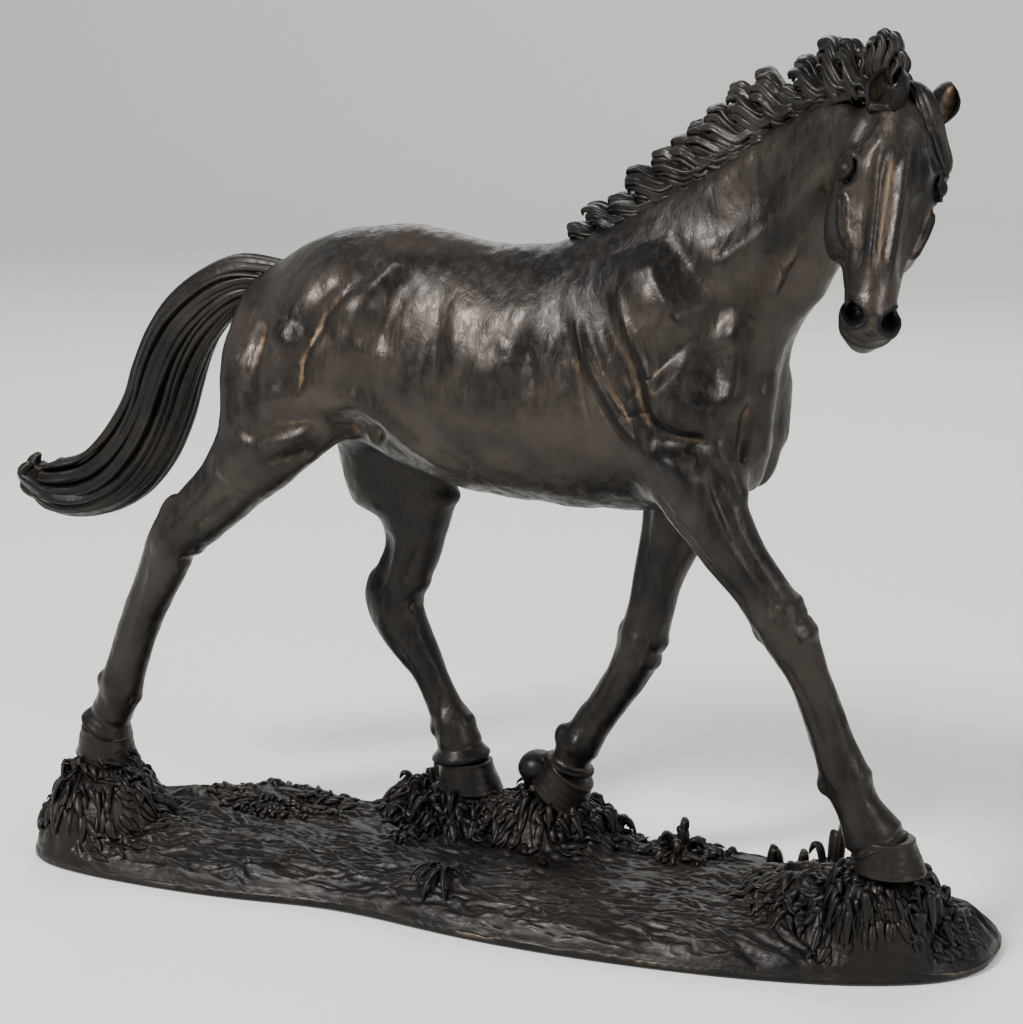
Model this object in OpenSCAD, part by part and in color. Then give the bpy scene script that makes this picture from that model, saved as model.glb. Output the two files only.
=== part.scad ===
// Bronze statue of a striding horse on a grassy oval base.
// X runs forward along the base, Y to the horse's left, Z up.
// The origin is the centre of the base's underside. Millimetres.

/* [Base] */
// Length of the base
base_length = 294; // [288:1:310]
// Width of the base
base_width = 78; // [76:1:92]
// Height of the open ground between the mounds
ground_height = 11; // [9:0.5:13]
// Wall thickness of the hollow base casting
base_wall = 5; // [4:0.5:6]
// Thickness of the felt pad under the base
pad_thickness = 1.2; // [0.8:0.1:2]
// Thickness of the board that closes the hollow base
board_thickness = 3; // [2:0.5:4]

/* [Castings] */
// Wall thickness of the hollow body and neck
shell_wall = 4.5; // [3.5:0.5:6]
// Number of wind-blown locks along the mane
mane_locks = 9; // [7:1:11]
// Length of one mane lock
lock_length = 20; // [16:1:23]

/* [Fastenings] */
// Radius of the threaded studs under the hooves
stud_radius = 2; // [1.5:0.25:2.5]
// Radius of the locating dowels in the casting joints
dowel_radius = 2; // [1.5:0.25:2.5]
// Length of the locating dowels
dowel_length = 16; // [12:1:20]

/* [Quality] */
// Sides of the body's cross-sections
body_sides = 24; // [20:4:28]
// Sides of the limbs' cross-sections
limb_sides = 16; // [12:4:20]

/* [Hidden] */

base_skew = 0.07;
base_shift = -2.75;
bronze = [0.20, 0.17, 0.15];
dark_bronze = [0.13, 0.11, 0.10];
steel = [0.62, 0.63, 0.65];
fit_gap = 0.05;

// Hoof placings: [x, y, height of the sole, forward tilt of the sole]
right_fore = [116, -10, 29, 0];
left_fore = [7, 18, 27.5, 38];
right_hind = [-136, -10, 27.5, 12];
left_hind = [-23.5, 18, 24, 0];
hooves = [right_fore, left_fore, right_hind, left_hind];
hoof_height = 9.5;
hoof_radius = 10;

// Mounds of turf: [x, y, height above the open ground, radius]
mounds = [
    [116, -10, 18, 16], [12, 18, 15, 24], [-135, -11, 17, 18], [-24, 18, 12.5, 15],
    [-128, -18, 10, 19], [-84, 11, 6, 15], [98, 0, 8, 14], [124, -5, 7, 20], [47, 22, 7, 9],
    [72, 21, 4, 12]
];

// Tufts of grass: [x, y, height, lean angle]
tufts = [
    [-126, -28, 9, 208], [-137, -25, 12, 262], [-121, -13, 10, 28], [-62, 8, 6, 198],
    [-40, 20, 11, 168], [30, 10, 10, 38], [44, 12, 11, 208], [74, 0, 10, 18],
    [100, -16, 12, 198], [132, -6, 10, 18], [108, -22, 8, 248], [14, 34, 9, 98]
];

// Stations of a lofted form: [x, y, z, half height, half width]
torso_stations = [
    [-91, 4, 160, 8, 8], [-84.5, 4, 160, 20, 17], [-72.5, 4, 160.5, 27, 23],
    [-58, 4, 163, 30.5, 26.5], [-43, 4, 164, 33, 27], [-26, 4, 161, 35, 26],
    [-8, 4, 157.3, 36.3, 27], [10, 4, 156.8, 36.8, 28], [26, 4, 158.3, 38.3, 27.5],
    [42, 4, 159.8, 38.8, 26], [54.5, 4, 159, 36, 25], [65, 4, 157.5, 31, 23],
    [73.5, 4, 155.5, 24, 19.5], [80.5, 4, 153, 13.5, 12]
];
neck_stations = [
    [42, 4, 167.5, 33.5, 22], [61.5, 4, 188.5, 29, 17.8], [77.5, 3, 205.4, 22, 13.4],
    [91, -1, 219, 17.6, 11.5], [102, -8, 227, 14.8, 10.5], [111, -14, 228, 13, 9]
];
right_foreleg_stations = [
    [53.5, -11, 153, 16.5, 9], [61, -15, 135, 13, 10], [71, -15.5, 118, 9.2, 8],
    [80.7, -15, 105.5, 7.8, 7], [87.2, -14.5, 96, 8, 7.5], [94.5, -13.5, 83, 6.2, 5.5],
    [99.1, -12.5, 73.5, 5.8, 5.2], [102.6, -12, 65, 6.1, 5.3], [106.2, -11, 55, 7.2, 6.3],
    [109.9, -10.5, 46.5, 6.3, 5.8], [113.6, -10, 38, 8.8, 8.2]
];
left_foreleg_stations = [
    [49.3, 17, 151, 14.6, 9], [46.3, 20, 131, 12.5, 9.8], [42.3, 22.5, 112, 10, 8.4],
    [38.3, 22.3, 98, 7.8, 7], [35, 21.7, 84, 7.2, 6.8], [32.5, 21, 75, 7.5, 7.2],
    [28.3, 20.3, 65.5, 6.5, 5.9], [23.3, 19.5, 57, 5.9, 5.3], [18.5, 19, 50, 6.1, 5.4],
    [14.8, 18.5, 43.5, 6.9, 6.2], [12.4, 18, 39.5, 6, 5.6], [10.5, 18, 36, 7.6, 7.4]
];
right_hind_leg_stations = [
    [-60, -8, 163, 24, 9.5], [-66, -13, 148, 23, 10.5], [-72.5, -15.5, 134, 16, 10.5],
    [-84, -15.5, 121, 11.5, 9], [-94.5, -15.5, 110.5, 9.4, 7.8],
    [-104, -14.5, 102, 8.6, 7.4], [-108.5, -14, 93.5, 7.7, 6.9],
    [-118, -12.5, 74.5, 6.6, 5.7], [-124, -11.5, 60, 6.6, 5.7], [-127, -11, 52, 7.4, 6.4],
    [-130.5, -10.5, 44, 6.3, 6], [-134, -10, 36.5, 8.6, 8.2]
];
left_hind_leg_stations = [
    [-50, 15, 156, 24, 9.8], [-48.5, 20, 134, 21.3, 10.8], [-45.2, 22.5, 117, 17.4, 10.8],
    [-41, 23, 107.5, 12, 9.2], [-42.3, 22.7, 98, 9.6, 7.8], [-46.2, 22.3, 87, 9.3, 7.4],
    [-48.4, 22, 78.5, 9.5, 7.4], [-43.9, 21, 69, 8.5, 6.8], [-36.5, 20, 59.5, 6.4, 5.8],
    [-30.6, 19, 50.5, 6.4, 5.8], [-27.1, 18.5, 45, 7.3, 6.6], [-25.5, 18, 39.5, 6.9, 6.6],
    [-24.4, 18.1, 33, 9.2, 8.8]
];
tail_stations = [
    [-74, 4, 178, 8, 5.2], [-86, 4, 179, 8.6, 6], [-97.5, 4, 174.2, 10.2, 7.5],
    [-108.8, 5, 164, 11.8, 9], [-116.3, 6, 150.8, 12.3, 10], [-121.2, 7, 137.5, 12.3, 10],
    [-128.5, 7, 124.5, 12.6, 10], [-138, 6, 114.5, 12, 9.5], [-149.5, 4, 110, 10.5, 8.5],
    [-159.5, 2, 110, 9, 7], [-166, 1, 112, 4.5, 4]
];
// The head has its own frame: X out of the face, Y to its left, Z up from the poll
head_stations = [
    [-2, 0, 3, 4, 4.5], [-1.5, 0, -4, 9, 9.5], [-2.5, 0, -12, 12, 12],
    [-5.5, 0, -21, 14.6, 13], [-7, 0, -30, 15, 12], [-5, 0, -38, 12, 9.8],
    [-2.5, 0, -46, 8.8, 7.8], [-1, 0, -54, 6.7, 6.8], [-1, 0, -60, 6.8, 7.3],
    [-2, 0, -64.5, 5.4, 6], [-2.5, 0, -67, 3, 3.5]
];
forelock_stations = [
    [-3, 0.8, 3.6, 3.6, 3.8], [2.6, 1.7, 4, 3.7, 4.1], [6.7, 5, -1.2, 3.5, 4.2],
    [7, 8.6, -7.8, 3.2, 3.9], [5.8, 11.6, -13.8, 2.7, 3.3], [3.9, 13.6, -18.3, 1.6, 2]
];
poll = [115.6, -13.6, 237.3];
head_turn = -60;
head_tilt = -23;
head_roll = -12.5;

// Dowels across the casting joints: [x, y, z, rotation about X, rotation about Y]
neck_dowel_places = [[46, 4, 201, 0, 43], [62, 13, 185, 0, 43], [62, -5, 185, 0, 43]];
shoulder_dowel_places = [[60, -10, 142, 90, 0], [48.5, 18, 138, 90, 0]];
hip_dowel_places = [[-66, -11, 147, 90, 0], [-49.5, 18, 143, 90, 0]];

// --- Curves and lofts ---------------------------------------------------

function station(rows, i) = rows[min(max(i, 0), len(rows) - 1)];

function place(row) = [row[0], row[1], row[2]];

function unit(v) = v / norm(v);

// Catmull-Rom blend between q and r
function curve(p, q, r, s, t) =
    (2 * q + (r - p) * t + (2 * p - 5 * q + 4 * r - s) * t * t
    + (3 * q - p - 3 * r + s) * t * t * t) / 2;

function refine(rows, steps) = [
    for (i = [0 : len(rows) - 2])
        for (k = [0 : steps - 1])
            curve(station(rows, i - 1), rows[i], rows[i + 1], station(rows, i + 2), k / steps),
    rows[len(rows) - 1]
];

function heading(rows, i) = unit(place(station(rows, i + 1)) - place(station(rows, i - 1)));

// One elliptical section square to the path; pinch narrows its upper side
function section(rows, i, sides, pinch) =
    let (along = heading(rows, i))
    let (across = unit([0, 1, 0] - along * along[1]))
    let (up = cross(along, across))
    [for (k = [0 : sides - 1])
        let (a = 360 * k / sides)
        place(rows[i]) + up * (rows[i][3] * sin(a))
            + across * (rows[i][4] * cos(a) * (1 - pinch * sin(a)))];

function ring_faces(rings, sides) = [
    [for (k = [0 : sides - 1]) k],
    [for (k = [sides - 1 : -1 : 0]) (rings - 1) * sides + k],
    for (i = [0 : rings - 2])
        for (k = [0 : sides - 1])
            let (a = i * sides + k, b = i * sides + (k + 1) % sides)
            each [[a, a + sides, b + sides], [a, b + sides, b]]
];

module loft(rows, sides, steps = 2, pinch = 0) {
    path = refine(rows, steps);
    polyhedron(
        points = [for (i = [0 : len(path) - 1]) each section(path, i, sides, pinch)],
        faces = ring_faces(len(path), sides),
        convexity = 6
    );
}

// The same form set in by a wall thickness
function shrink(rows, wall) = [
    for (row = rows) [row[0], row[1], row[2], row[3] - wall, row[4] - wall]
];

// Joins a group of forms into one casting
module casting(tone = bronze) {
    color(tone) resize([0, 0, 0]) union() children();
}

module in_head() {
    translate(poll) rotate([0, 0, head_turn]) rotate([0, head_tilt, 0])
        rotate([head_roll, 0, 0]) scale(0.97) children();
}

// --- Base ---------------------------------------------------------------

// Plan of the base: a long oval, squarer behind, with a shallow waist on its right side
function oval(angle, inset) =
    let (c = cos(angle), s = sin(angle))
    let (x = base_shift + (base_length / 2 - inset) * sign(c) * pow(abs(c), 0.65))
    let (bow = pow(abs(s), c < 0 ? 0.42 : 0.7))
    let (skew = base_skew * x * abs(x) * 2 / base_length)
    let (waist = s < 0 ? 0.12 * exp(-pow((x + 42) / 30, 2)) : 0)
    [x, (base_width / 2 - inset) * sign(s) * bow * (1 - waist) + skew];

module plan(inset) {
    polygon([for (k = [0 : 95]) oval(360 * k / 96, inset)]);
}

// Turf is level near a mound's top, so that a hoof stands flat
function mound_height(p, m) =
    let (d = norm([p[0] - m[0], p[1] - m[1]]) / m[3])
    m[2] * exp(-pow(d, 4));

function ground(p) =
    ground_height + max([for (m = mounds) mound_height(p, m)])
    + 1.2 * sin(4 * p[0]) * cos(7 * p[1]);

// Terrain as rings of points from the rim to the middle; drop lowers it for the cavity
rim_insets = [0, 2, 5, 9, 14];
rim_rise = [0.12, 0.4, 0.65, 0.83, 0.94];
inner_scales = [0.8, 0.6, 0.4, 0.2];
ground_rings = len(rim_insets) + len(inner_scales);
ground_sides = 64;

function terrain_point(k, j, inset, drop) =
    let (rim = min(j, len(rim_insets) - 1))
    let (shrink = j == rim ? 1 : inner_scales[j - rim - 1])
    let (rise = j == rim ? rim_rise[j] : 1)
    let (p = oval(360 * k / ground_sides, inset + rim_insets[rim]) * shrink)
    [p[0], p[1], pad_thickness + max(ground(p) * rise - drop, 1)];

module terrain(inset, drop, floor_z) {
    rings = ground_rings;
    base_ring = [for (k = [0 : ground_sides - 1])
        let (p = oval(360 * k / ground_sides, inset)) [p[0], p[1], floor_z]];
    tops = [for (j = [0 : rings - 1]) for (k = [0 : ground_sides - 1])
        terrain_point(k, j, inset, drop)];
    middle = [0, 0, pad_thickness + ground([0, 0]) - drop];
    last = rings * ground_sides;
    polyhedron(
        points = concat(base_ring, tops, [middle]),
        faces = [
            [for (k = [0 : ground_sides - 1]) k],
            for (i = [0 : rings - 1]) for (k = [0 : ground_sides - 1])
                let (a = i * ground_sides + k, b = i * ground_sides + (k + 1) % ground_sides)
                each [[a, a + ground_sides, b + ground_sides], [a, b + ground_sides, b]],
            for (k = [0 : ground_sides - 1])
                [last + k, last + ground_sides, last + (k + 1) % ground_sides]
        ],
        convexity = 8
    );
}

ledge = 2.5;
stud_boss_z = pad_thickness + board_thickness + 7;
washer_thickness = 1;
nut_height = 3.2;
screw_places = [[-118, 0], [-40, 0], [50, 0], [120, 4]];

module at_studs() {
    for (h = hooves) translate([h[0], h[1], 0]) children();
}

module base_pad() {
    color([0.09, 0.09, 0.09]) linear_extrude(pad_thickness) plan(1);
}

module closing_board() {
    color([0.45, 0.32, 0.20]) difference() {
        translate([0, 0, pad_thickness]) linear_extrude(board_thickness) plan(base_wall - ledge + 0.2);
        for (s = screw_places) translate([s[0], s[1], pad_thickness - 1]) {
            cylinder(h = board_thickness + 2, r = 1.5, $fn = 24);
            cylinder(h = 2.4, r1 = 3.6, r2 = 1.5, $fn = 24);
        }
    }
}

module board_screws() {
    color(steel) for (s = screw_places) translate([s[0], s[1], pad_thickness])
        rotate_extrude($fn = 24)
            polygon([[0, 0], [2.8, 0], [1.4, 1.4], [1.4, 8], [0, 9]]);
}

module base_casting() {
    casting() difference() {
        terrain(0, 0, pad_thickness);
        difference() {
            terrain(base_wall + 1, base_wall, pad_thickness - 1);
            at_studs() translate([0, 0, stud_boss_z]) cylinder(h = 30, r = 7, $fn = 32);
            for (s = screw_places) translate([s[0], s[1], pad_thickness + board_thickness])
                cylinder(h = 30, r = 4, $fn = 24);
        }
        translate([0, 0, pad_thickness - 1]) linear_extrude(board_thickness + 1)
            plan(base_wall - ledge);
        at_studs() cylinder(h = 60, r = stud_radius + 0.15, $fn = 24);
        for (s = screw_places) translate([s[0], s[1], 0]) cylinder(h = 10.3, r = 1.45, $fn = 24);
        all_hooves(fit_gap);
    }
}

// One tuft: curled blades that fan out from the turf
module tuft(height) {
    for (k = [0 : 2]) {
        fan = 31 * k - 29;
        loft([
            [-2.3, 0.03 * fan, -3.6, 2.6, 2.4],
            [1.2 + k % 2, 0.07 * fan, height * 0.5, 2.4, 1.9],
            [4.1 + k % 2, 0.15 * fan, height, 0.8, 0.7]
        ], 7, 1);
    }
}

module grass_tufts() {
    casting(dark_bronze) difference() {
        for (t = tufts) translate([t[0], t[1], pad_thickness + ground([t[0], t[1]])])
            rotate([0, 0, t[3]]) tuft(t[2]);
        terrain(0, 0, pad_thickness);
        all_hooves(fit_gap);
    }
}

// --- Hooves and their fastenings ------------------------------------------

// A hoof is a wedge-shaped cone, longer at the toe, on a level sole
module hoof_form(grow) {
    loft([
        [1.6, 0, 0, hoof_radius + grow, hoof_radius - 1 + grow],
        [1, 0, hoof_height * 0.35, hoof_radius - 0.5 + grow, hoof_radius - 1.4 + grow],
        [0, 0, hoof_height, hoof_radius - 1.8 + grow, hoof_radius - 2.4 + grow]
    ], 24, 2);
}

module placed_hoof(h, grow = 0) {
    translate([h[0], h[1], h[2]]) rotate([0, h[3], 0]) hoof_form(grow);
}

module all_hooves(grow) {
    for (h = hooves) placed_hoof(h, grow);
}

module one_hoof(h) {
    casting() difference() {
        placed_hoof(h);
        translate([h[0], h[1], h[2] - 12]) cylinder(h = 18, r = stud_radius, $fn = 24);
    }
}

module right_fore_hoof() { one_hoof(right_fore); }
module left_fore_hoof() { one_hoof(left_fore); }
module right_hind_hoof() { one_hoof(right_hind); }
module left_hind_hoof() { one_hoof(left_hind); }

module hoof_studs() {
    bottom = stud_boss_z - washer_thickness - nut_height - 1.5;
    color(steel) for (h = hooves) translate([h[0], h[1], bottom])
        cylinder(h = h[2] + 6 - bottom, r = stud_radius, $fn = 24);
}

module hoof_washers() {
    color(steel) at_studs() translate([0, 0, stud_boss_z - washer_thickness]) difference() {
        cylinder(h = washer_thickness, r = 4.5, $fn = 32);
        translate([0, 0, -1]) cylinder(h = 4, r = stud_radius + 0.15, $fn = 24);
    }
}

module hoof_nuts() {
    color(steel) at_studs() translate([0, 0, stud_boss_z - washer_thickness - nut_height])
        difference() {
            cylinder(h = nut_height, r = 4.04, $fn = 6);
            translate([0, 0, -1]) cylinder(h = 6, r = stud_radius, $fn = 24);
        }
}

// --- Legs -------------------------------------------------------------------

module cross_dowels(places, r) {
    for (p = places) translate([p[0], p[1], p[2]]) rotate([p[3], p[4], 0])
        cylinder(h = dowel_length, r = r, center = true, $fn = 24);
}

module leg(rows, hoof) {
    casting() difference() {
        loft(rows, limb_sides);
        torso_form();
        placed_hoof(hoof);
        cross_dowels(concat(shoulder_dowel_places, hip_dowel_places), dowel_radius);
    }
}

module right_foreleg() { leg(right_foreleg_stations, right_fore); }
module left_foreleg() { leg(left_foreleg_stations, left_fore); }
module right_hind_leg() { leg(right_hind_leg_stations, right_hind); }
module left_hind_leg() { leg(left_hind_leg_stations, left_hind); }

module shoulder_dowels() { color(steel) cross_dowels(shoulder_dowel_places, dowel_radius); }
module hip_dowels() { color(steel) cross_dowels(hip_dowel_places, dowel_radius); }

// --- Body, neck and tail ------------------------------------------------------

module torso_form() {
    loft(torso_stations, body_sides, 2, 0.16);
}

module neck_form(wall = 0) {
    loft(shrink(neck_stations, wall), body_sides, 2, 0.2);
}

module neck_cavity() {
    loft(shrink([for (i = [0 : 3]) neck_stations[i]], shell_wall + 3), body_sides, 2, 0.2);
}

module torso() {
    casting() difference() {
        torso_form();
        loft(shrink([for (i = [2 : 11]) torso_stations[i]], shell_wall), body_sides, 2, 0.16);
        neck_cavity();
        cross_dowels(neck_dowel_places, dowel_radius);
        cross_dowels(concat(shoulder_dowel_places, hip_dowel_places), dowel_radius);
        tail_pin();
    }
}

module neck() {
    casting() difference() {
        neck_form();
        torso_form();
        neck_cavity();
        head_form();
        cross_dowels(neck_dowel_places, dowel_radius);
        head_pin();
    }
}

module neck_dowels() { color(steel) cross_dowels(neck_dowel_places, dowel_radius); }

module tail() {
    casting(dark_bronze) difference() {
        loft(tail_stations, limb_sides + 4);
        torso_form();
        loft(right_hind_leg_stations, limb_sides);
        tail_pin();
    }
}

module tail_pin() {
    translate([-81, 4, 178]) rotate([0, 90, 0])
        cylinder(h = dowel_length, r = dowel_radius, center = true, $fn = 24);
}

module tail_dowel() { color(steel) tail_pin(); }

// --- Head -----------------------------------------------------------------------

module head_form() {
    in_head() loft(head_stations, limb_sides + 8);
}

module head_pin() {
    in_head() translate([-13, 0, -8]) rotate([0, 60, 0])
        cylinder(h = dowel_length, r = dowel_radius, center = true, $fn = 24);
}

module head_dowel() { color(steel) head_pin(); }

module head() {
    casting() difference() {
        head_form();
        head_pin();
        in_head() for (side = [-1, 1]) translate([4.5, 5 * side, -62])
            scale([1.2, 0.8, 1]) sphere(r = 2.4, $fn = 16);
    }
}

// An ear is laid back from the poll; side is -1 for the right, 1 for the left
right_ear_lean = -12;
left_ear_lean = -20;

module ear_form(side, lean) {
    in_head() translate([-1, 6.5 * side, -1]) rotate([lean, -46, 0])
        loft([
            [0, 0, -3, 3, 3.4], [0, 0, 3, 3, 4.2], [-0.8, 0, 9, 2.2, 3.6], [-2, 0, 14, 0.7, 1]
        ], 12, 3);
}

module ear(side, lean) {
    casting() difference() {
        ear_form(side, lean);
        head_form();
        neck_form();
    }
}

module right_ear() { ear(-1, right_ear_lean); }
module left_ear() { ear(1, left_ear_lean); }

module forelock() {
    casting(dark_bronze) difference() {
        in_head() loft(forelock_stations, 10, 2);
        head_form();
        neck_form();
        ear_form(-1, right_ear_lean);
        ear_form(1, left_ear_lean);
    }
}

// --- Mane -------------------------------------------------------------------------

// Crest of the neck from the withers to the poll: [x, y, z, -, rise of the lock]
crest = [
    [26, 4, 197, 0, 4], [40, 4, 205, 0, 8], [56, 3.5, 214, 0, 12],
    [72, 2, 225, 0, 16], [87, -2, 234, 0, 26], [99, -8, 239, 0, 48], [107, -12, 240, 0, 84]
];

// A lock rises from the crest and is blown back, fuller in its middle
module lock(p) {
    swing = p[4];
    back = [-cos(swing), 0, sin(swing)];
    root = place(p) - [0, 0, 5];
    loft([
        concat(root, [8, 4.5]),
        concat(place(p) + back * lock_length * 0.35, [7.5, 4.2]),
        concat(place(p) + back * lock_length * 0.7 + [0, -1, 2], [5.5, 3.2]),
        concat(place(p) + back * lock_length + [0, -1, 1], [1.8, 1.4])
    ], 12, 2);
}

module mane() {
    path = refine(crest, 12);
    casting(dark_bronze) difference() {
        union() {
            for (k = [0 : mane_locks - 1])
                lock(path[round(k * (len(path) - 1) / (mane_locks - 1))]);
        }
        neck_form();
        torso_form();
        head_form();
        ear_form(-1, right_ear_lean);
        ear_form(1, left_ear_lean);
    }
}

// --- Assembly -----------------------------------------------------------------------

base_pad();
closing_board();
board_screws();
base_casting();
grass_tufts();
hoof_studs();
hoof_washers();
hoof_nuts();
right_fore_hoof();
left_fore_hoof();
right_hind_hoof();
left_hind_hoof();
right_foreleg();
left_foreleg();
right_hind_leg();
left_hind_leg();
torso();
shoulder_dowels();
hip_dowels();
neck();
neck_dowels();
head();
head_dowel();
right_ear();
left_ear();
forelock();
mane();
tail();
tail_dowel();
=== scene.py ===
"""A bronze horse at a walk on an oval of turf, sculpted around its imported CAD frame.

The body is one distance field in millimetres, built up like clay: a loft along each limb, then
bones, muscles and creases. Its surface is cut at the castings' joints into one piece per
casting. Hair and grass are bundles of grooved strands, and the turf is a combed height field.
"""

import math

import bpy
import numpy as np
import openvdb
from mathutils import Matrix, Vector


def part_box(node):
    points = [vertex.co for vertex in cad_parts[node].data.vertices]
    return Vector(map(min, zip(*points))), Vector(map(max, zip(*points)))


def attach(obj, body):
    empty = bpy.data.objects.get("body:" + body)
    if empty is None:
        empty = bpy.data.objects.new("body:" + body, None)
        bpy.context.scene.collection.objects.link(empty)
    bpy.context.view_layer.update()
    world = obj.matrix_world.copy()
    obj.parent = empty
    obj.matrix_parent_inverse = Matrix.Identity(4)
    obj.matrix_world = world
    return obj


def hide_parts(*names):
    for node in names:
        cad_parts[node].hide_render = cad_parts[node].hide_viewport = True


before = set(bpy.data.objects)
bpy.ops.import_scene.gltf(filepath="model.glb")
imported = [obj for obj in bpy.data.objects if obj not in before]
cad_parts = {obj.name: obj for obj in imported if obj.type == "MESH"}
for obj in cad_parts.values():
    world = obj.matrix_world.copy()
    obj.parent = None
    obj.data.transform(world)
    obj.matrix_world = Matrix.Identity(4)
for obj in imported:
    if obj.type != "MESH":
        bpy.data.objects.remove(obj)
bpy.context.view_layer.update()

MM = 0.001
MIDLINE = 4.0  # the horse's middle plane, in Y
MUSCLE_DEPTH = 1.35  # how boldly the muscles are modelled
BODY_VOXEL = 0.6  # the spacing of the samples of the body
TURF_GRID = ((720, 220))  # the turf's points along and across
FAR = 1000.0  # farther than anything in the model
random = np.random.default_rng(11)


# --- Numbers and curves ------------------------------------------------------------------------

def unit(v):
    """Vectors along the last axis, at length 1."""
    v = np.asarray(v, float)
    return v / np.linalg.norm(v, axis=-1, keepdims=True)


def ease(t):
    """From 0 to 1 with a soft start and a soft end."""
    t = np.clip(t, 0, 1)
    return t * t * (3 - 2 * t)


def smooth_min(a, b, blend):
    """The smaller of a and b, rounded where they come within blend of each other."""
    h = np.maximum(blend - np.abs(a - b), 0) / blend
    return np.minimum(a, b) - h * h * blend / 4


def smooth_max(a, b, blend):
    return -smooth_min(-a, -b, blend)


def catmull(rows, steps):
    """A smooth curve through rows, with steps points to each span."""
    rows = np.asarray(rows, float)
    p = np.vstack([rows[:1], rows, rows[-1:]])
    out = []
    for i in range(1, len(rows)):
        a, b, c, d = p[i - 1], p[i], p[i + 1], p[i + 2]
        for t in np.arange(steps) / steps:
            out.append(0.5 * (2 * b + (c - a) * t + (2 * a - 5 * b + 4 * c - d) * t ** 2
                              + (3 * b - a - 3 * c + d) * t ** 3))
    return np.array(out + [rows[-1]])


def lattice(i, j, k, seed):
    """A fixed pseudo-random value from 0 to 1 at each whole point."""
    n = (i * 73856093) ^ (j * 19349663) ^ (k * 83492791) ^ (seed * 2654435761)
    n = (n ^ (n >> 13)) * 1274126177 & 0x7FFFFFFF
    return (n % 65536) / 65535.0


def noise(points, size, seed=0):
    """Smooth noise from -1 to 1 whose lumps are about size across."""
    q = points / size
    low = np.floor(q).astype(np.int64)
    f = ease(q - low)
    total = 0.0
    for dx in (0, 1):
        for dy in (0, 1):
            for dz in (0, 1):
                weight = (np.where(dx, f[:, 0], 1 - f[:, 0]) * np.where(dy, f[:, 1], 1 - f[:, 1])
                          * np.where(dz, f[:, 2], 1 - f[:, 2]))
                total = total + weight * lattice(low[:, 0] + dx, low[:, 1] + dy, low[:, 2] + dz, seed)
    return total * 2 - 1


# --- Forms -------------------------------------------------------------------------------------

class Loft:
    """A form swept through stations (x, y, z, half height, half width), read along one axis."""

    STEPS = 8
    SAMPLES = 240

    def __init__(self, rows, axis, across=(0, 1, 0), pinch=0.0):
        self.path = catmull(rows, self.STEPS)
        self.pinch = pinch
        self.centre = self.path[:, :3]
        along = unit(np.gradient(self.centre, axis=0))
        across = np.asarray(across, float)
        self.across = unit(across - along * (along @ across)[:, None])
        self.up = np.cross(along, self.across)
        self.axis = unit(axis)
        t = self.centre @ self.axis
        self.start, self.end = t[0], t[-1]
        even = np.linspace(self.start, self.end, self.SAMPLES)
        columns = np.hstack([self.centre, self.up, self.across, self.path[:, 3:]])
        self.table = np.stack([np.interp(even, t, column) for column in columns.T], 1)
        reach = self.path[:, 3:].max(1)[:, None]
        self.lo = (self.centre - reach).min(0)
        self.hi = (self.centre + reach).max(0)

    def distance(self, points):
        """Roughly how far outside the form each point lies."""
        t = points @ self.axis
        s = np.clip((t - self.start) / (self.end - self.start), 0, 1) * (self.SAMPLES - 1.001)
        i = s.astype(int)
        f = (s - i)[:, None]
        row = self.table[i] * (1 - f) + self.table[i + 1] * f
        offset = points - row[:, :3]
        u = (offset * row[:, 3:6]).sum(1)
        v = (offset * row[:, 6:9]).sum(1)
        high = np.maximum(row[:, 9], 0.5)
        wide = np.maximum(row[:, 10], 0.5) * (1 - self.pinch * np.clip(u / high, -1, 1))
        k0 = np.hypot(u / high, v / wide)
        k1 = np.maximum(np.hypot(u / high ** 2, v / wide ** 2), 1e-6)
        ends = np.maximum(self.start - t, t - self.end)
        return smooth_max(k0 * (k0 - 1) / k1, ends, 4.0)

    def point(self, s, angle, lift=0.0):
        """The surface point at station s; angle runs from the left side (0) over the top (90)."""
        k = min(max(s * self.STEPS, 0), len(self.path) - 1.001)
        i, f = int(k), k - int(k)

        def at(a):
            return a[i] * (1 - f) + a[i + 1] * f

        sine, cosine = math.sin(math.radians(angle)), math.cos(math.radians(angle))
        high, wide = at(self.path[:, 3]) + lift, at(self.path[:, 4]) + lift
        return (at(self.centre) + at(self.up) * high * sine
                + at(self.across) * wide * cosine * (1 - self.pinch * sine))


class Ball:
    """An ellipsoid; its first radius lies along, its third as near to top as it can."""

    def __init__(self, centre, radii, along=(1, 0, 0), top=(0, 0, 1)):
        self.centre = np.asarray(centre, float)
        self.radii = np.asarray(radii, float) * np.ones(3)
        first = unit(along)
        second = unit(np.cross(top, first))
        self.basis = np.stack([first, second, np.cross(first, second)], 1)
        self.lo = self.centre - self.radii.max()
        self.hi = self.centre + self.radii.max()

    def distance(self, points):
        q = (points - self.centre) @ self.basis
        k0 = np.sqrt(((q / self.radii) ** 2).sum(1))
        k1 = np.maximum(np.sqrt(((q / self.radii ** 2) ** 2).sum(1)), 1e-6)
        return k0 * (k0 - 1) / k1


class Rod:
    """A round bar through points (x, y, z, radius)."""

    def __init__(self, rows):
        self.rows = np.asarray(rows, float)
        reach = self.rows[:, 3:].max()
        self.lo = self.rows[:, :3].min(0) - reach
        self.hi = self.rows[:, :3].max(0) + reach

    def distance(self, points):
        best = np.full(len(points), FAR)
        for a, b in zip(self.rows[:-1], self.rows[1:]):
            span = b[:3] - a[:3]
            q = points - a[:3]
            h = np.clip(q @ span / (span @ span), 0, 1)
            gap = np.linalg.norm(q - h[:, None] * span, axis=1) - (a[3] + h * (b[3] - a[3]))
            best = np.minimum(best, gap)
        return best


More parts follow.
